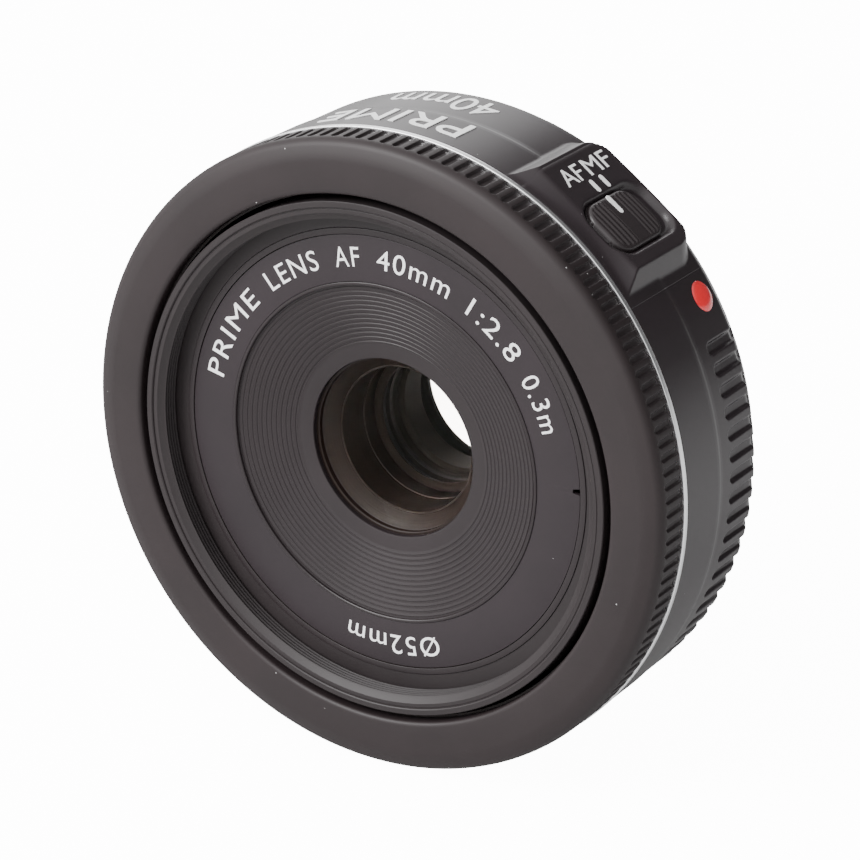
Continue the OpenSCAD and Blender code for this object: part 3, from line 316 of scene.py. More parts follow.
def finish_of(
    name,
    color,
    roughness,
    metallic=0.0,
    coat=0.0,
    coat_roughness=0.1,
    specular=0.5,
    contrast=0.12,
    rough_spread=0.08,
    bump=0.08,
    grain_scale=3000.0,
    mottle_scale=90.0,
    lines=0.0,
    line_scale=9000.0,
    dust=0.0,
    dust_scale=700.0,
):
    """A finish with faint mottling, fine grain, and where asked turning lines and dust."""
    material = bpy.data.materials.new(name)
    material.use_nodes = True
    tree = material.node_tree
    shader = tree.nodes["Principled BSDF"]
    shader.inputs["Metallic"].default_value = metallic
    shader.inputs["Coat Weight"].default_value = coat
    shader.inputs["Coat Roughness"].default_value = coat_roughness
    shader.inputs["Specular IOR Level"].default_value = specular
    grain = tree.nodes.new("ShaderNodeGroup")
    grain.node_tree = GRAIN
    grain.inputs["Grain Scale"].default_value = grain_scale
    grain.inputs["Mottle Scale"].default_value = mottle_scale
    shade = tree.nodes.new("ShaderNodeValToRGB")
    shade.color_ramp.elements[0].position = 0.3
    shade.color_ramp.elements[1].position = 0.7
    dark = [c * (1 - contrast) for c in color]
    light = [min(1.0, c * (1 + contrast)) for c in color]
    shade.color_ramp.elements[0].color = (*dark, 1)
    shade.color_ramp.elements[1].color = (*light, 1)
    tree.links.new(grain.outputs["Mottle"], shade.inputs["Fac"])
    tint = shade.outputs["Color"]
    gloss = tree.nodes.new("ShaderNodeMapRange")
    gloss.inputs["To Min"].default_value = max(0.02, roughness - rough_spread)
    gloss.inputs["To Max"].default_value = min(1.0, roughness + rough_spread)
    tree.links.new(grain.outputs["Mottle"], gloss.inputs["Value"])
    rough = gloss.outputs["Result"]
    if dust:
        specks = tree.nodes.new("ShaderNodeGroup")
        specks.node_tree = DUST
        specks.inputs["Cell Scale"].default_value = dust_scale
        specks.inputs["Spread"].default_value = dust
        over = tree.nodes.new("ShaderNodeMix")
        over.data_type = "RGBA"
        over.inputs["B"].default_value = (0.5, 0.5, 0.5, 1)
        tree.links.new(specks.outputs["Mask"], over.inputs["Factor"])
        tree.links.new(tint, over.inputs["A"])
        tint = over.outputs["Result"]
    tree.links.new(tint, shader.inputs["Base Color"])
    tree.links.new(rough, shader.inputs["Roughness"])
    relief = tree.nodes.new("ShaderNodeBump")
    relief.inputs["Strength"].default_value = bump
    relief.inputs["Distance"].default_value = 0.00003
    tree.links.new(grain.outputs["Height"], relief.inputs["Height"])
    last = relief
    if lines:
        turning = tree.nodes.new("ShaderNodeGroup")
        turning.node_tree = TURNING
        turning.inputs["Line Scale"].default_value = line_scale
        ridges = tree.nodes.new("ShaderNodeBump")
        ridges.inputs["Strength"].default_value = lines
        ridges.inputs["Distance"].default_value = 0.00002
        tree.links.new(turning.outputs["Height"], ridges.inputs["Height"])
        tree.links.new(relief.outputs["Normal"], ridges.inputs["Normal"])
        last = ridges
    tree.links.new(last.outputs["Normal"], shader.inputs["Normal"])
    return material


def coated_glass(name, tint):
    """Clear coated glass; at CLEAR_IOR it does not bend light."""
    material = bpy.data.materials.new(name)
    material.use_nodes = True
    tree = material.node_tree
    shader = tree.nodes["Principled BSDF"]
    shader.inputs["Transmission Weight"].default_value = 1.0
    shader.inputs["IOR"].default_value = CLEAR_IOR
    shader.inputs["Roughness"].default_value = 0.0
    shader.inputs["Coat Weight"].default_value = 0.06
    shader.inputs["Coat Roughness"].default_value = 0.02
    shader.inputs["Coat IOR"].default_value = 1.35
    grain = tree.nodes.new("ShaderNodeGroup")
    grain.node_tree = GRAIN
    grain.inputs["Mottle Scale"].default_value = 40.0
    shade = tree.nodes.new("ShaderNodeValToRGB")
    shade.color_ramp.elements[0].color = (*[c * 0.985 for c in tint], 1)
    shade.color_ramp.elements[1].color = (*tint, 1)
    tree.links.new(grain.outputs["Mottle"], shade.inputs["Fac"])
    tree.links.new(shade.outputs["Color"], shader.inputs["Base Color"])
    return material


ring_black = finish_of(
    "ring_black", (0.0165, 0.0112, 0.0120), 0.52, specular=0.34, dust=0.045, bump=0.12,
    grain_scale=4200.0,
)
barrel_black = finish_of(
    "barrel_black", (0.0205, 0.0148, 0.0172), 0.34, specular=0.5, dust=0.03, bump=0.05,
    grain_scale=5200.0, contrast=0.08, rough_spread=0.04,
)
knob_black = finish_of(
    "knob_black", (0.022, 0.0165, 0.0178), 0.38, specular=0.5, bump=0.06,
)
thread_black = finish_of(
    "thread_black", (0.0165, 0.0122, 0.0130), 0.52, specular=0.35, lines=0.15, bump=0.06,
)
satin_black = finish_of(
    "satin_black", (0.0165, 0.0118, 0.0130), 0.4, specular=0.34, lines=0.25, bump=0.04,
)
name_paint = finish_of(
    "name_paint", (0.0190, 0.0136, 0.0160), 0.46, specular=0.32, bump=0.05, dust=0.03,
)
well_black = finish_of(
    "well_black", (0.020, 0.0150, 0.0145), 0.5, specular=0.3, lines=0.3,
)
brown_black = finish_of(
    "brown_black", (0.0150, 0.0080, 0.0060), 0.5, specular=0.3, lines=0.5,
    line_scale=5000.0, contrast=0.3, mottle_scale=60.0,
)
grey_black = finish_of(
    "grey_black", (0.018, 0.0130, 0.0100), 0.6, specular=0.18, lines=0.5,
    line_scale=4000.0, contrast=0.25, mottle_scale=60.0,
)
silver = finish_of(
    "silver", (0.95, 0.95, 0.96), 0.3, metallic=1.0, lines=0.35, contrast=0.03,
)
white_print = finish_of(
    "white_print", (0.95, 0.95, 0.95), 0.5, contrast=0.03, bump=0.05,
)
red_enamel = finish_of(
    "red_enamel", (0.9, 0.018, 0.026), 0.22, coat=1.0, coat_roughness=0.04,
    contrast=0.05, bump=0.02,
)
mount_chrome = finish_of(
    "mount_chrome", (0.66, 0.65, 0.63), 0.24, metallic=1.0, lines=0.5, contrast=0.05,
)
screw_steel = finish_of(
    "screw_steel", (0.5, 0.5, 0.5), 0.3, metallic=1.0, contrast=0.08,
)
gold_plate = finish_of(
    "gold_plate", (0.9, 0.64, 0.24), 0.2, metallic=1.0, contrast=0.05,
)
board_green = finish_of("board_green", (0.015, 0.09, 0.035), 0.4, contrast=0.2)
chip_black = finish_of("chip_black", (0.025, 0.025, 0.026), 0.5)
motor_steel = finish_of(
    "motor_steel", (0.48, 0.48, 0.46), 0.32, metallic=1.0, contrast=0.08,
)
amber_film = finish_of("amber_film", (0.5, 0.24, 0.05), 0.3, coat=0.3)
acetal = finish_of("acetal", (0.72, 0.69, 0.6), 0.42)
brass = finish_of("brass", (0.72, 0.53, 0.22), 0.3, metallic=1.0)
anodised = finish_of("anodised", (0.05, 0.05, 0.055), 0.36, metallic=0.6, lines=0.3)
blade_steel = finish_of("blade_steel", (0.05, 0.05, 0.055), 0.35, metallic=0.8)
front_glass = coated_glass("front_glass", (0.97, 0.96, 0.93))
inner_glass = coated_glass("inner_glass", (0.975, 0.955, 0.945))


# ---- focus ring ----

KNURL_COUNT = 148
KNURL_DEPTH = 0.27
KNURL_HALF = 0.36
KNURL_END = 21.35


def knurl_drop(across, z):
    """Depth below the ring's surface: flat-bottomed slots with rounded front ends."""
    past = np.maximum(z - (KNURL_END - KNURL_HALF), 0)
    edge = np.hypot(across, past) - KNURL_HALF
    return KNURL_DEPTH * (1 - fade(edge, -0.15, 0.09))


def focus_ring_piece():
    """Knurled ring with a rounded front edge, hollow behind."""
    pitch = 2 * math.pi * BARREL_R / KNURL_COUNT
    half = [0.12, 0.2, 0.25, 0.3, 0.34, 0.38, 0.42, 0.48]
    phases = np.array([-x for x in reversed(half)] + [0.0] + half)
    across = np.tile(phases, KNURL_COUNT)
    turn = np.repeat(np.arange(KNURL_COUNT) * 360 / KNURL_COUNT, len(phases))
    angle = turn + across / pitch * 360 / KNURL_COUNT
    outer = [(33.82, RING_BACK), (33.92, 17.99), (33.99, 18.08)]
    outer += [(RING_R, z) for z in (18.3, 19.5, 20.7, 20.9)]
    outer += [(RING_R, z) for z in np.arange(20.96, 21.36, 0.05)]
    outer += [(33.995, 21.42), (33.96, 21.62), (33.88, 21.84), (33.76, 22.04)]
    outer += [(33.6, 22.22), (33.42, 22.35), (33.2, 22.44), (32.6, 22.63), (32.1, 22.76)]
    inner = [(r, RING_FRONT) for r in (31.7, 30.0, 28.85)]
    inner += [(28.65, 22.77), (28.48, 22.68)]
    inner += [(28.36, 22.5), (28.33, 22.3), (28.32, 21.3), (31.11, 21.3), (31.11, 12.02)]
    inner += [(32.18, 12.02), (32.18, RING_BACK)]
    rows = []
    for r, z in outer + inner:
        drop = knurl_drop(across, z) if r > 33 and z < 21.5 else 0 * across
        rows.append(on_clock(r - drop, angle, z))
    points = np.concatenate(rows)
    faces = grid_faces(len(rows), len(across), wrap_rows=True)
    ring = add_piece(
        "knurled_focus_ring", points, faces, ring_black, "focus_ring", 50
    )
    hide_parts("focus_ring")


focus_ring_piece()

# ---- bright trim ring ----

trim = turned(
    "bright_trim_ring",
    soften(
        [(32.4, BARREL_FRONT), (33.8, BARREL_FRONT), (33.84, 17.26), (34.05, 17.29),
         (34.1, 17.34), (34.1, 17.84), (34.04, 17.92), (33.7, 17.93), (32.4, 17.93)],
        0.03, 2,
    ),
    silver, "barrel", steps=384,
)
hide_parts("trim_ring")

# ---- barrel with its finger grooves and switch panel ----


def barrel_profile(z):
    """Plain radius of the barrel, before grooves and panel."""
    return np.interp(
        z,
        [0.5, 0.6, 1.2, 2.3, 2.5, 2.65, 2.8, 3.1, CREASE_Z - 0.7, CREASE_Z - 0.25,
         CREASE_Z + 0.15, CREASE_Z + 0.6, 17.05, 17.15, BARREL_FRONT],
        [32.45, 32.55, 32.9, 33.52, 33.64, 33.74, 33.8, 33.83, 33.88, 33.91, 33.98,
         34.0, 34.0, 33.96, 33.86],
    )


def groove_drop(angle, z):
    """Depth of the spoon-shaped finger grooves."""
    number = np.clip(np.round((angle - FIRST_GROOVE) / GROOVE_PITCH), 0, GROOVE_COUNT - 1)
    across = np.radians(angle - FIRST_GROOVE - number * GROOVE_PITCH) * BARREL_R
    past = np.maximum(z - (GROOVE_END - GROOVE_HALF), 0)
    bowl = 1 - fade(np.hypot(across, past) / GROOVE_HALF, 0.5, 1.0)
    return (GROOVE_DEPTH + GROOVE_EXTRA * fade(z, 2.5, 6.5)) * bowl


def panel_radius(angle, z):
    """Radius of the flat-topped switch panel and its flanks."""
    off = np.radians(angle - PANEL_ANGLE)
    top = PANEL_TOP / np.cos(np.clip(off, -0.6, 0.6))
    u = PANEL_TOP * np.tan(np.clip(off, -0.6, 0.6))
    bend = np.clip(PANEL_REAR + 0.4 + PANEL_CORNER - z, 0, PANEL_CORNER)
    inset = PANEL_CORNER - np.sqrt(PANEL_CORNER**2 - bend**2)
    left = 33.6 + 1.6 * np.clip((u - inset - PANEL_LEFT + 2.2) / 2.2, 0, 4) ** 1.25
    right = 33.6 + 1.64 * np.clip((PANEL_RIGHT + 2.38 - inset - u) / 2.38, 0, 4)
    rear = 33.4 + 1.9 * np.clip((z - PANEL_REAR) / 0.7, -4, 4)
    rise = smooth_min(1.0, 1.04 * np.clip((PANEL_FRONT - z) / 2.75, 0, 2) ** 1.45, 0.22)
    front = 33.85 + (top - 33.85) * rise
    body = smooth_min(front, rear, 0.25)
    body = smooth_min(body, left, 0.08)
    return smooth_min(body, right, 0.14)


def recess_drop(angle, z):
    """Depth of the pocket that the switch knob slides in, with a rounded rim."""
    off = np.radians(angle - PANEL_ANGLE)
    u = PANEL_TOP * np.tan(np.clip(off, -0.6, 0.6))
    edge = rounded_rectangle(
        u - RECESS_U, z - RECESS_V, RECESS_HALF_U, RECESS_HALF_V, RECESS_CORNER
    )
    depth = np.interp(
        edge, [-0.5, -0.36, -0.16, 0.0, 0.08, 0.18, 0.32],
        [0.8, 0.72, 0.36, 0.16, 0.08, 0.02, 0],
    )
    slot = rounded_rectangle(
        u - RECESS_U, z - SLOT_V, SLOT_HALF_U, SLOT_HALF_V, SLOT_CORNER
    )
    return depth + SLOT_DEPTH * (1 - fade(slot, -0.06, 0.06))


def seam_drop(angle, z):
    """A hairline where two halves of the moulding tool met."""
    across = np.abs(np.radians(angle - SEAM_ANGLE)) * BARREL_R
    return SEAM_DEPTH * (1 - fade(across, 0.03, 0.1)) * fade(z, 2.6, 3.2)


def barrel_piece():
    """Outer shell with its grooves and switch panel, and the walls of its inside."""
    spot = [0.0, 0.24, 0.36, 0.43, 0.49, 0.55, 0.61, 0.67, 0.74, 0.88]
    across = np.degrees(np.array([-x for x in spot[:0:-1]] + spot + [1.135]) / BARREL_R)
    grooves = [FIRST_GROOVE + i * GROOVE_PITCH + across for i in range(GROOVE_COUNT)]
    fine = np.arange(0.95, 3.9, 0.09)
    u = np.concatenate(
        [
            np.arange(-13.2, -9.4, 0.4),
            np.arange(-9.4, -6.6, 0.1),
            np.arange(-6.6, -1.9, 0.4),
            RECESS_U - fine[::-1],
            RECESS_U + np.arange(-0.8, 0.9, 0.2),
            RECESS_U + fine,
            np.arange(6.1, 10.2, 0.1),
            np.arange(10.2, 10.7, 0.04),
            np.arange(10.8, 15.6, 0.4),
        ]
    )
    panel = PANEL_ANGLE + np.degrees(np.arctan(u / PANEL_TOP))
    rest = np.arange(grooves[-1][-1] + 1, panel[0] + 360, 1.0)
    start = grooves[0][0]
    angle = np.concatenate([panel[panel < start - 0.2], *grooves, rest])
    v = np.arange(3.2, 6.1, 0.09)
    z = np.concatenate(
        [
            [0.5, 0.6, 0.9, 1.2, 1.6, 2.0, 2.3, 2.4, 2.5, 2.58, 2.65, 2.72],
            RECESS_V - v[::-1],
            np.arange(5.8, 7.3, 0.25),
            np.arange(7.3, 8.2, 0.08),
            np.arange(8.2, 9.6, 0.3),
            np.arange(9.6, 11.0, 0.1),
            [11.4, 11.8],
            RECESS_V + v,
            np.arange(14.9, 17.0, 0.12),
            [17.0, 17.05, 17.1, 17.15, BARREL_FRONT],
        ]
    )
    z = np.unique(np.round(z, 3))
    aa, zz = np.meshgrid(angle, z)
    base = barrel_profile(zz)
    near = (aa > 12) & (aa < 62)
    bare = base - np.where((aa > 66) & (zz < 9), groove_drop(aa, zz), 0)
    bare = np.maximum(bare, np.minimum(base, 32.42))
    with_panel = smooth_max(base, panel_radius(aa, zz), PANEL_BLEND) - recess_drop(aa, zz)
    blend = fade(aa, 16.0, 19.0) * (1 - fade(aa, 57.6, 58.6))
    radius = np.where(near, bare + (with_panel - bare) * blend, bare) - seam_drop(aa, zz)
    radius = np.where(zz > 17.1, np.minimum(radius, base), radius)
    rows = [on_clock(radius[k], angle, z[k]) for k in range(len(z))]
    inside = [(32.32, BARREL_FRONT), (32.3, 12.62), (32.72, 12.6), (32.72, 3.42),
              (20.0, 3.42), (20.0, 2.02), (32.3, 2.0), (32.33, 0.5)]
    for r, h in inside:
        rows.append(on_clock(np.full(len(angle), r), angle, h))
    points = np.concatenate(rows)
    faces = grid_faces(len(rows), len(angle), wrap_rows=True)
    shell = add_piece(
        "barrel_shell", points, faces, barrel_black, "barrel", 60
    )
    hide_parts("main_barrel")


barrel_piece()

# ---- red index dot ----


def index_dot_piece():
    """Domed bead set in the side of the barrel."""
    reach, angle, height = 1.72, 60.2, 5.0
    outline = [(0, 33.0), (reach, 33.0), (reach, 33.62)]
    for t in np.linspace(0.1, 1, 9):
        turn = t * math.pi / 2
        outline.append((reach * math.cos(turn), 33.62 + 0.6 * math.sin(turn)))
    outline[-1] = (0, 34.22)
    steps, points, faces, table = 48, [], [], []
    for r, h in outline:
        if r < 1e-6:
            table.append([len(points)] * steps)
            points.append((0, h, 0))
        else:
            table.append(list(range(len(points), len(points) + steps)))
            for j in range(steps):
                a = 2 * math.pi * j / steps
                points.append((r * math.cos(a), h, r * math.sin(a)))
    for low, high in zip(table[:-1], table[1:]):
        for j in range(steps):
            k = (j + 1) % steps
            loop = list(dict.fromkeys([low[j], low[k], high[k], high[j]]))
            if len(loop) > 2:
                faces.append(loop)
    p = np.array(points)
    placed = on_panel(p[:, 0], p[:, 1], p[:, 2] + height, angle)
    dot = add_piece("index_bead", placed, faces, red_enamel, "barrel", 50)
    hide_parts("index_dot")


index_dot_piece()

# ---- switch knob ----


def knob_piece():
    """Ribbed cap with a flat middle, a bevelled edge and a short skirt."""
    half_u, half_v, corner = 3.15, 4.4, 2.1
    rib_pitch, rib_height = 0.7, 0.06
    u = np.round(np.arange(-3.25, 3.26, 0.05), 3)
    v = np.round(np.arange(-4.5, 4.51, 0.05), 3)
    uu, vv = np.meshgrid(u, v)
    edge = rounded_rectangle(uu, vv, half_u, half_v, corner)
    top = PANEL_TOP + 0.15 - 0.010 * uu**2 - 0.006 * vv**2
    flat = 1 - fade(np.abs(vv), 0.95, 1.15)
    ribs = rib_height * np.cos((np.abs(vv) - 1.4) * 2 * math.pi / rib_pitch) * (1 - flat)
    ribs *= (1 - fade(edge, -0.6, -0.3)) * (1 - fade(np.abs(vv), 3.75, 3.95))
    bevel = np.interp(
        edge, [-0.45, -0.3, -0.15, -0.05, 0.0, 0.03], [0, 0.03, 0.12, 0.26, 0.5, 1.1]
    )
    height = np.maximum(top + ribs - bevel, KNOB_FOOT)
    points = on_panel(uu + RECESS_U, height, vv + KNOB_Z).reshape(-1, 3)
    keep = (edge < 0.1).ravel()
    cols = len(u)
    faces = [f for f in grid_faces(len(v), cols, wrap_cols=False) if keep[f].all()]
    used = sorted({i for f in faces for i in f})
    new = {old: k for k, old in enumerate(used)}
    points = points[used]
    faces = [[new[i] for i in f] for f in faces]
    knob = add_piece("switch_cap", points, faces, knob_black, "switch", 50,
                     tidy=False)
    mesh = knob.data
    bm = bmesh.new()
    bm.from_mesh(mesh)
    rim = [e for e in bm.edges if e.is_boundary]
    sunk = bmesh.ops.extrude_edge_only(bm, edges=rim)
    moved = [g for g in sunk["geom"] if isinstance(g, bmesh.types.BMVert)]
    down = Vector(to_row(on_panel(0.0, -KNOB_SKIRT, 0.0))[0]) - Vector(to_row([(0, 0, 0)])[0])
    bmesh.ops.translate(bm, verts=moved, vec=down)
    base = [e for e in bm.edges if e.is_boundary]
    bmesh.ops.contextual_create(bm, geom=base)
    bmesh.ops.recalc_face_normals(bm, faces=bm.faces)
    bm.to_mesh(mesh)
    bm.free()
    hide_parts("switch_knob")


knob_piece()

# ---- printed lettering ----

FONT_SIZE, FONT_CAP = 10, 6.95
PRINT_SINK = 0.03


def letters(text, cap_height, spacing=1.0):
    """Flat outlines of a text as a mesh: points in millimetres from its left, and faces."""
    curve = bpy.data.curves.new("type", "FONT")
    curve.body = text
    curve.size = FONT_SIZE
    curve.resolution_u = 5
    curve.space_character = spacing
    curve.fill_mode = "BOTH"
    holder = bpy.data.objects.new("type", curve)
    bpy.context.collection.objects.link(holder)
    bpy.context.view_layer.update()
    mesh = bpy.data.meshes.new_from_object(
        holder.evaluated_get(bpy.context.evaluated_depsgraph_get())
    )
    flat = np.array([v.co[:2] for v in mesh.vertices])
    faces = [list(p.vertices) for p in mesh.polygons]
    bpy.data.objects.remove(holder)
    bpy.data.curves.remove(curve)
    bpy.data.meshes.remove(mesh)
    flat *= cap_height / FONT_CAP
    flat[:, 0] -= flat[:, 0].min()
    return flat, faces


def print_on(name, text, place, cap_height, length, body, thick=0.05, spacing=1.0):
    """Prints a text through place(along, up, lift); length sets its width."""
    flat, faces = letters(text, cap_height, spacing)
    flat[:, 0] *= length / flat[:, 0].max()
    count = len(flat)
    top = place(flat[:, 0], flat[:, 1], thick)
    low = place(flat[:, 0], flat[:, 1], -PRINT_SINK)
    points = np.concatenate([top, low])
    sides = {}
    for f in faces:
        for a, b in zip(f, f[1:] + f[:1]):
            if (b, a) in sides:
                del sides[(b, a)]
            else:
                sides[(a, b)] = True
    shut = [[f[::-1][k] + count for k in range(len(f))] for f in faces]
    walls = [[b, a, a + count, b + count] for a, b in sides]
    return add_piece(
        name, points, faces + shut + walls, white_print, body, 30,
        tidy=False,
    )


def on_name_ring(start, radius=20.02, height=NAME_Z):
    """Text that runs clockwise with its tops outwards."""

    def place(along, up, lift):
        angle = start + np.degrees(along / (radius + 1.0))
        return on_clock(radius + up, angle, height + lift)

    return place


NAME_CAP, WORD_R = 2.1, 21.0
NAME_WORDS = [
    ("PRIME", -74.6, 30.2), ("LENS", -37.9, 19.4), ("AF", -12.4, 8.2),
    ("40mm", 1.6, 24.1), ("1:2.8", 32.5, 19.3), ("0.3m", 57.6, 16.5),
]
NAME_TEXT = {"thick": 0.015, "spacing": 1.15}
for number, (word, start, sweep) in enumerate(NAME_WORDS, 1):
    print_on(
        f"name_print_{number}", word, on_name_ring(start), NAME_CAP,
        math.radians(sweep) * WORD_R, "lens_unit", **NAME_TEXT,
    )
print_on(
    "thread_size_print", "Ø52mm", on_name_ring(163.5), NAME_CAP,
    math.radians(31.0) * WORD_R, "lens_unit", **NAME_TEXT,
)


def on_barrel_top(start, foot):
    """Text that runs anticlockwise with its tops towards the front."""

    def place(along, up, lift):
        z = foot + up
        radius = barrel_profile(z) + lift
        return on_clock(radius, start - np.degrees(along / BARREL_R), z)

    return place


print_on("barrel_word", "PRIME", on_barrel_top(12.6, 11.1), 4.0,
         math.radians(28.2) * BARREL_R, "barrel", thick=0.09)
print_on("barrel_focal_length", "40mm", on_barrel_top(11.3, 4.0), 4.0,
         math.radians(21.5) * BARREL_R, "barrel")


def on_switch_panel(start, foot):
    """Text that runs from front to rear with its tops anticlockwise."""

    def place(along, up, lift):
        u, z = foot - up, start - along
        angle = PANEL_ANGLE + np.degrees(np.arctan(u / PANEL_TOP))
        radius = smooth_max(barrel_profile(z), panel_radius(angle, z), PANEL_BLEND)
        return on_clock(radius + lift, angle, z)

    return place


print_on("switch_print_auto", "AF", on_switch_panel(12.9, -3.52), 2.05, 3.65, "barrel",
         thick=0.03)
print_on("switch_print_manual", "MF", on_switch_panel(8.45, -3.52), 2.05, 4.45, "barrel",
         thick=0.03)


def tick(name, u0, u1, z, width, lift, body):
    """A short printed bar with round ends."""
    ends = np.concatenate([
        [(u1 - width / 2 + width / 2 * math.cos(a), width / 2 * math.sin(a))
         for a in np.linspace(-math.pi / 2, math.pi / 2, 9)],
        [(u0 + width / 2 + width / 2 * math.cos(a), width / 2 * math.sin(a))
         for a in np.linspace(math.pi / 2, 3 * math.pi / 2, 9)],
    ])
    top = on_panel(ends[:, 0], PANEL_TOP + lift, z + ends[:, 1])
    low = on_panel(ends[:, 0], PANEL_TOP + lift - 0.08, z + ends[:, 1])
    n = len(ends)
    faces = [list(range(n)), list(range(2 * n - 1, n - 1, -1))]
    faces += [[i, (i + 1) % n, (i + 1) % n + n, i + n] for i in range(n)]
    add_piece(name, np.concatenate([top, low]), faces, white_print, body)


tick("mark_auto", -3.25, -1.62, 9.4, 0.6, 0.03, "barrel")
tick("mark_manual", -3.25, -1.62, 7.5, 0.6, 0.03, "barrel")
tick("mark_knob", -0.9, 1.45, 9.4, 0.62, 0.16, "switch")

# ---- front of the moving unit ----


def filter_ring_piece():
    """Front ring with a few fine grooves in its mouth."""
    outline = [(27.6, 20.2), (27.6, 22.52), (27.52, 22.6), (27.0, 22.6), (26.9, 22.52),
               (26.86, 22.4), (26.78, 22.4), (26.72, 22.46), (26.35, 22.46)]
    z, pitch, crest, root = 21.95, 0.42, 25.62, 25.93
    outline += [(25.78, 22.02), (crest, z)]
    for _ in range(4):
        outline += [(crest, z - 0.07), (root, z - 0.22), (root, z - 0.27), (crest, z - pitch)]
        z -= pitch
    outline += [(crest, z - 0.1), (25.85, z - 0.12), (25.85, 19.87), (25.6, 19.84)]
    outline += [(24.14, 19.84), (24.14, 17.4), (26.7, 17.4), (26.7, 20.2)]
    piece = turned("filter_thread_ring", outline, thread_black, "lens_unit",
                   steps=384, sharp=28)
    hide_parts("filter_ring")


filter_ring_piece()

rim = turned(
    "name_ring_seat",
    soften([(24.1, 17.2), (24.1, 19.93), (23.45, 19.93), (23.45, 17.2)], 0.05),
    satin_black, "lens_unit", steps=256,
)


def name_ring_piece():
    """Flat name ring with a spanner notch at three o'clock."""
    notch = 90 + np.arange(-1.6, 1.61, 0.1)
    angles = np.concatenate([notch, np.arange(92.0, 448.1, 0.5)])
    outline = soften([(23.37, 19.25), (23.37, NAME_Z), (18.43, NAME_Z), (18.43, 19.25)], 0.04)
    rows = []
    for r, z in outline:
        radius = np.full(len(angles), r)
        if r > 23:
            across = np.radians(angles - 90) * 23.0
            radius = radius - 0.8 * (1 - fade(np.abs(across), 0.2, 0.34))
        rows.append(on_clock(radius, angles, z))
    piece = add_piece(
        "name_ring_plate", np.concatenate(rows),
        grid_faces(len(rows), len(angles), wrap_rows=True),
        name_paint, "lens_unit",
    )
    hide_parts("name_ring")


name_ring_piece()


def baffle_piece():
    """Cone of fine steps that leads from the name ring to the opening."""
    outline = [(18.4, 17.26), (18.4, 19.9), (18.33, 19.95), (18.15, 19.95), (18.06, 19.88)]
    r, z = 18.04, 19.62
    pitch, fall = 0.52, 0.125
    for _ in range(13):
        outline += [(r, z), (r - 0.05, z - 0.07), (r - 0.19, z - 0.09),
                    (r - 0.25, z - 0.04)]
        r, z = r - pitch, z - fall
    outline += [(r, z), (r - 0.1, z - 0.02), (9.85, 17.9), (9.72, 17.86), (9.67, 17.78),
                (9.67, 17.26)]
    piece = turned("stepped_light_baffle", outline, satin_black, "lens_unit",
                   steps=384, sharp=24)
    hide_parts("stepped_baffle")


baffle_piece()

# ---- optics ----


def sag(curve, r):
    """Depth of a spherical face at radius r; a negative curve bulges the other way."""
    return curve - math.copysign(math.sqrt(curve * curve - r * r), curve)


def lens(name, rim_r, front, front_curve, rear, rear_curve, material, nodes, side=()):
    """A lens between two curves; side gives the outline between their rims."""
    outline = [(r, front - sag(front_curve, r)) for r in np.linspace(0, rim_r, 25)]
    outline += list(side)
    rear_r = side[-1][0] if side else rim_r
    outline += [(r, rear - sag(rear_curve, r)) for r in np.linspace(rear_r, 0, 25)]
    piece = turned(name, outline, material, "lens_unit", steps=128)
    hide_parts(*nodes)


lens("front_lens", 9.27, 17.28, 60, 14.9, 45, front_glass, ["front_element"],
     [(8.07, 15.3), (7.83, 15.2)])
lens("second_lens_pair", 7.48, 14.5, 24, 11.0, 14, inner_glass,
     ["second_element", "third_element"])
lens("fourth_lens_pair", 7.18, 5.1, -24, 0.6, -18, inner_glass,
     ["fourth_element", "fifth_element"])
lens("rear_lens", 9.45, -0.4, -30, -2.0, -22, inner_glass, ["rear_element"])

cell = turned(
    "front_lens_cell",
    [(10.54, 16.2), (10.54, 17.2), (9.48, 17.2), (9.4, 17.12), (9.4, 16.6), (9.3, 16.5),
     (8.14, 15.26), (8.08, 15.14), (7.9, 15.13), (7.88, 15.08), (7.88, 14.97), (8.0, 14.9),
     (7.98, 13.0), (7.92, 11.1), (7.84, 11.02), (7.83, 10.82), (7.95, 10.75), (7.9, 9.0),
     (6.95, 8.9), (6.95, 8.75),
     (8.6, 8.75), (8.6, 12.4), (10.54, 12.4), (10.54, 15.3), (14.0, 15.35), (14.0, 16.18)],
    brown_black, "lens_unit", steps=256, sharp=25,
)
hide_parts("front_cell", "spacer_ring")

rear_cell = turned(
    "rear_lens_cell",
    [(14, 5.6), (14, 6.4), (7.25, 6.4), (7.25, 5.3), (6.9, 5.1), (6.7, 4.9), (6.7, 1.8),
     (9.0, 1.3), (9.55, 1.2), (9.55, -1.7), (9.7, -1.86), (10.6, -1.9), (10.78, -1.75),
     (10.8, 2.1), (8.5, 2.1), (8.5, 5.6)],
    grey_black, "lens_unit", steps=256, sharp=25,
)
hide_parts("rear_cell")

keeper = turned(
    "rear_lens_keeper",
    soften([(9.5, -2.5), (9.5, -1.6), (8.6, -1.6), (8.2, -1.9), (8.2, -2.5)], 0.06),
    well_black, "lens_unit", steps=192,
)
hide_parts("rear_retaining_ring")

# ---- finishes on the carried nodes ----

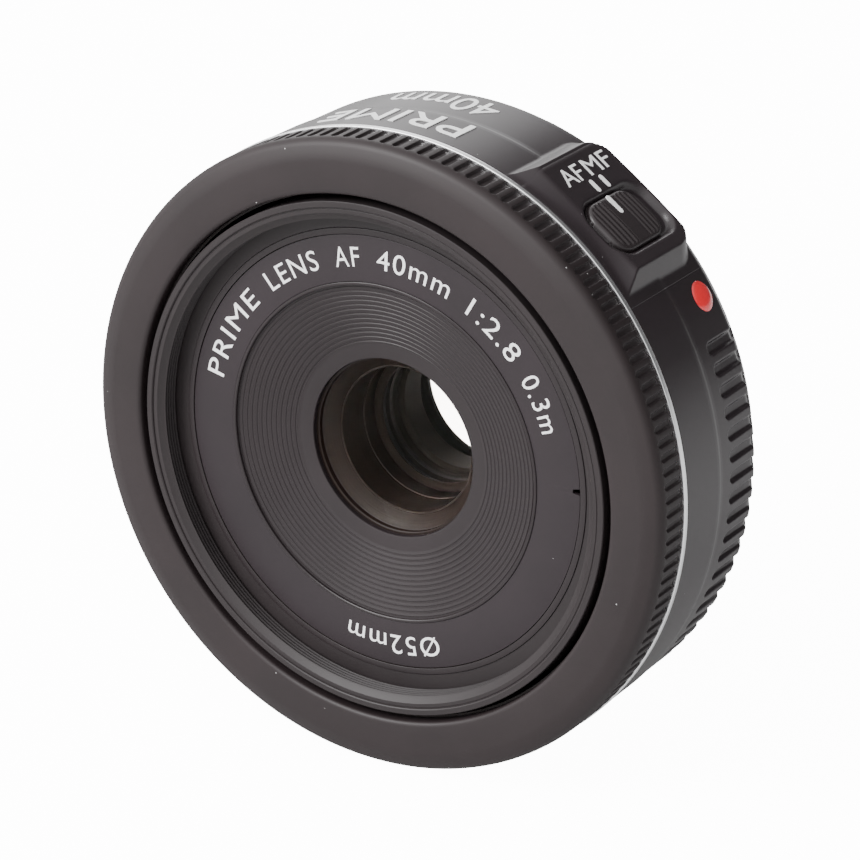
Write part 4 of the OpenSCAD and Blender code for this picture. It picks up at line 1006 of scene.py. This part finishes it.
FINISHES = {
    mount_chrome: ["bayonet_mount"],
    screw_steel: ["mount_screws", "guide_screws", "bracket_screws", "gear_shaft",
                  "iris_unit_screws"],
    satin_black: ["contact_block"],
    well_black: ["rear_light_baffle", "inner_barrel", "iris_housing", "iris_cover",
                 "cam_ring_retainer"],
    gold_plate: ["contact_pins", "switch_wiper"],
    board_green: ["circuit_board", "switch_board"],
    chip_black: ["circuit_chips", "rotation_sensors"],
    motor_steel: ["focus_motor", "motor_bracket", "iris_motor"],
    amber_film: ["service_flex"],
    acetal: ["reduction_gear", "iris_pinion"],
    brass: ["motor_pinion"],
    anodised: ["guide_barrel", "cam_ring", "iris_drive_ring"],
    silver: ["encoder_ring", "follower_pins"],
    blade_steel: [f"iris_blade_{i}" for i in range(1, 8)],
}
for material, names in FINISHES.items():
    for node in names:
        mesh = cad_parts[node].data
        mesh.materials.clear()
        mesh.materials.append(material)

# ---- floor, light and camera ----

FLOOR_Z = cad_box[0][2] - 0.00002
FLOOR_GLOW, BACKDROP_GLOW = 13.0, 14.0


def seen_straight(tree):
    """1 for rays that come from the camera, straight or through glass, else 0."""
    paths = tree.nodes.new("ShaderNodeLightPath")
    turns = tree.nodes.new("ShaderNodeMath")
    tree.links.new(paths.outputs["Diffuse Depth"], turns.inputs[0])
    tree.links.new(paths.outputs["Glossy Depth"], turns.inputs[1])
    unturned = tree.nodes.new("ShaderNodeMath")
    unturned.operation = "LESS_THAN"
    unturned.inputs[1].default_value = 0.5
    tree.links.new(turns.outputs[0], unturned.inputs[0])
    through = tree.nodes.new("ShaderNodeMath")
    through.operation = "MULTIPLY"
    tree.links.new(paths.outputs["Is Transmission Ray"], through.inputs[0])
    tree.links.new(unturned.outputs[0], through.inputs[1])
    either = tree.nodes.new("ShaderNodeMath")
    either.operation = "MAXIMUM"
    tree.links.new(paths.outputs["Is Camera Ray"], either.inputs[0])
    tree.links.new(through.outputs[0], either.inputs[1])
    return either.outputs[0]


def plain(name, color, roughness):
    """An even material with no pattern."""
    material = bpy.data.materials.new(name)
    material.use_nodes = True
    shader = material.node_tree.nodes["Principled BSDF"]
    shader.inputs["Base Color"].default_value = (*color, 1)
    shader.inputs["Roughness"].default_value = roughness
    return material


floor_mesh = bpy.data.meshes.new("floor")
reach = 6.0
floor_mesh.from_pydata(
    [(-reach, -reach, FLOOR_Z), (reach, -reach, FLOOR_Z), (reach, reach, FLOOR_Z),
     (-reach, reach, FLOOR_Z)], [], [(0, 1, 2, 3)]
)
pale_floor = plain("pale_floor", (0.6, 0.6, 0.6), 0.9)
glow = pale_floor.node_tree.nodes.new("ShaderNodeMath")
glow.operation = "MULTIPLY"
glow.inputs[1].default_value = FLOOR_GLOW
pale_floor.node_tree.links.new(seen_straight(pale_floor.node_tree), glow.inputs[0])
floor_shader = pale_floor.node_tree.nodes["Principled BSDF"]
floor_shader.inputs["Emission Color"].default_value = (1.0, 1.0, 1.0, 1)
pale_floor.node_tree.links.new(glow.outputs[0], floor_shader.inputs["Emission Strength"])
floor_mesh.materials.append(pale_floor)
floor = bpy.data.objects.new("floor", floor_mesh)
bpy.context.collection.objects.link(floor)

world = bpy.data.worlds.new("studio")
bpy.context.scene.world = world
world.use_nodes = True
backdrop = world.node_tree.nodes["Background"]
backdrop.inputs["Color"].default_value = (1.0, 1.0, 1.0, 1)
heading = world.node_tree.nodes.new("ShaderNodeTexCoord")
toward = world.node_tree.nodes.new("ShaderNodeVectorMath")
toward.operation = "DOT_PRODUCT"
toward.inputs[1].default_value = (-0.5, -0.75, 0.43)
world.node_tree.links.new(heading.outputs["Generated"], toward.inputs[0])
fill = world.node_tree.nodes.new("ShaderNodeMapRange")
fill.interpolation_type = "SMOOTHSTEP"
fill.inputs["From Min"].default_value = -0.45
fill.inputs["From Max"].default_value = 0.7
fill.inputs["To Min"].default_value = 0.12
fill.inputs["To Max"].default_value = 1.75
world.node_tree.links.new(toward.outputs["Value"], fill.inputs["Value"])
strength = world.node_tree.nodes.new("ShaderNodeMix")
strength.inputs["B"].default_value = BACKDROP_GLOW
world.node_tree.links.new(seen_straight(world.node_tree), strength.inputs["Factor"])
world.node_tree.links.new(fill.outputs["Result"], strength.inputs["A"])
world.node_tree.links.new(strength.outputs["Result"], backdrop.inputs["Strength"])


def softbox(name, place, target, size, power):
    """A round soft light that faces a target."""
    light = bpy.data.lights.new(name, "AREA")
    light.shape = "DISK"
    light.size = size
    light.energy = power
    lamp = bpy.data.objects.new(name, light)
    lamp.location = place
    lamp.rotation_mode = "QUATERNION"
    lamp.rotation_quaternion = (Vector(target) - Vector(place)).to_track_quat("-Z", "Y")
    bpy.context.collection.objects.link(lamp)


softbox("rear_left_light", (-0.55, 0.8, 0.42), (0, 0, 0), 0.75, 3.2)
softbox("front_left_light", (-0.5, -0.8, 0.7), (0, 0, 0), 0.8, 23.0)

camera_data = bpy.data.cameras.new("camera")
camera = bpy.data.objects.new("camera", camera_data)
bpy.context.collection.objects.link(camera)
bpy.context.scene.camera = camera
camera_data.sensor_width = 36.0
camera_data.lens = 153.9
camera_data.clip_start = 0.01
camera_data.clip_end = 30.0
VIEW_FROM = Vector((0.1953, -0.3097, 0.1358))
LOOKING = Vector((-0.5108, 0.7823, -0.3565))
UPWARDS = Vector((-0.1579, 0.3222, 0.9334))
side = LOOKING.cross(UPWARDS).normalized()
above = side.cross(LOOKING).normalized()
camera.location = VIEW_FROM
camera.rotation_mode = "QUATERNION"
turn = bpy.data.objects.new("turn", None).matrix_world.to_3x3()
turn.col[0], turn.col[1], turn.col[2] = side, above, -LOOKING.normalized()
camera.rotation_quaternion = turn.to_quaternion()
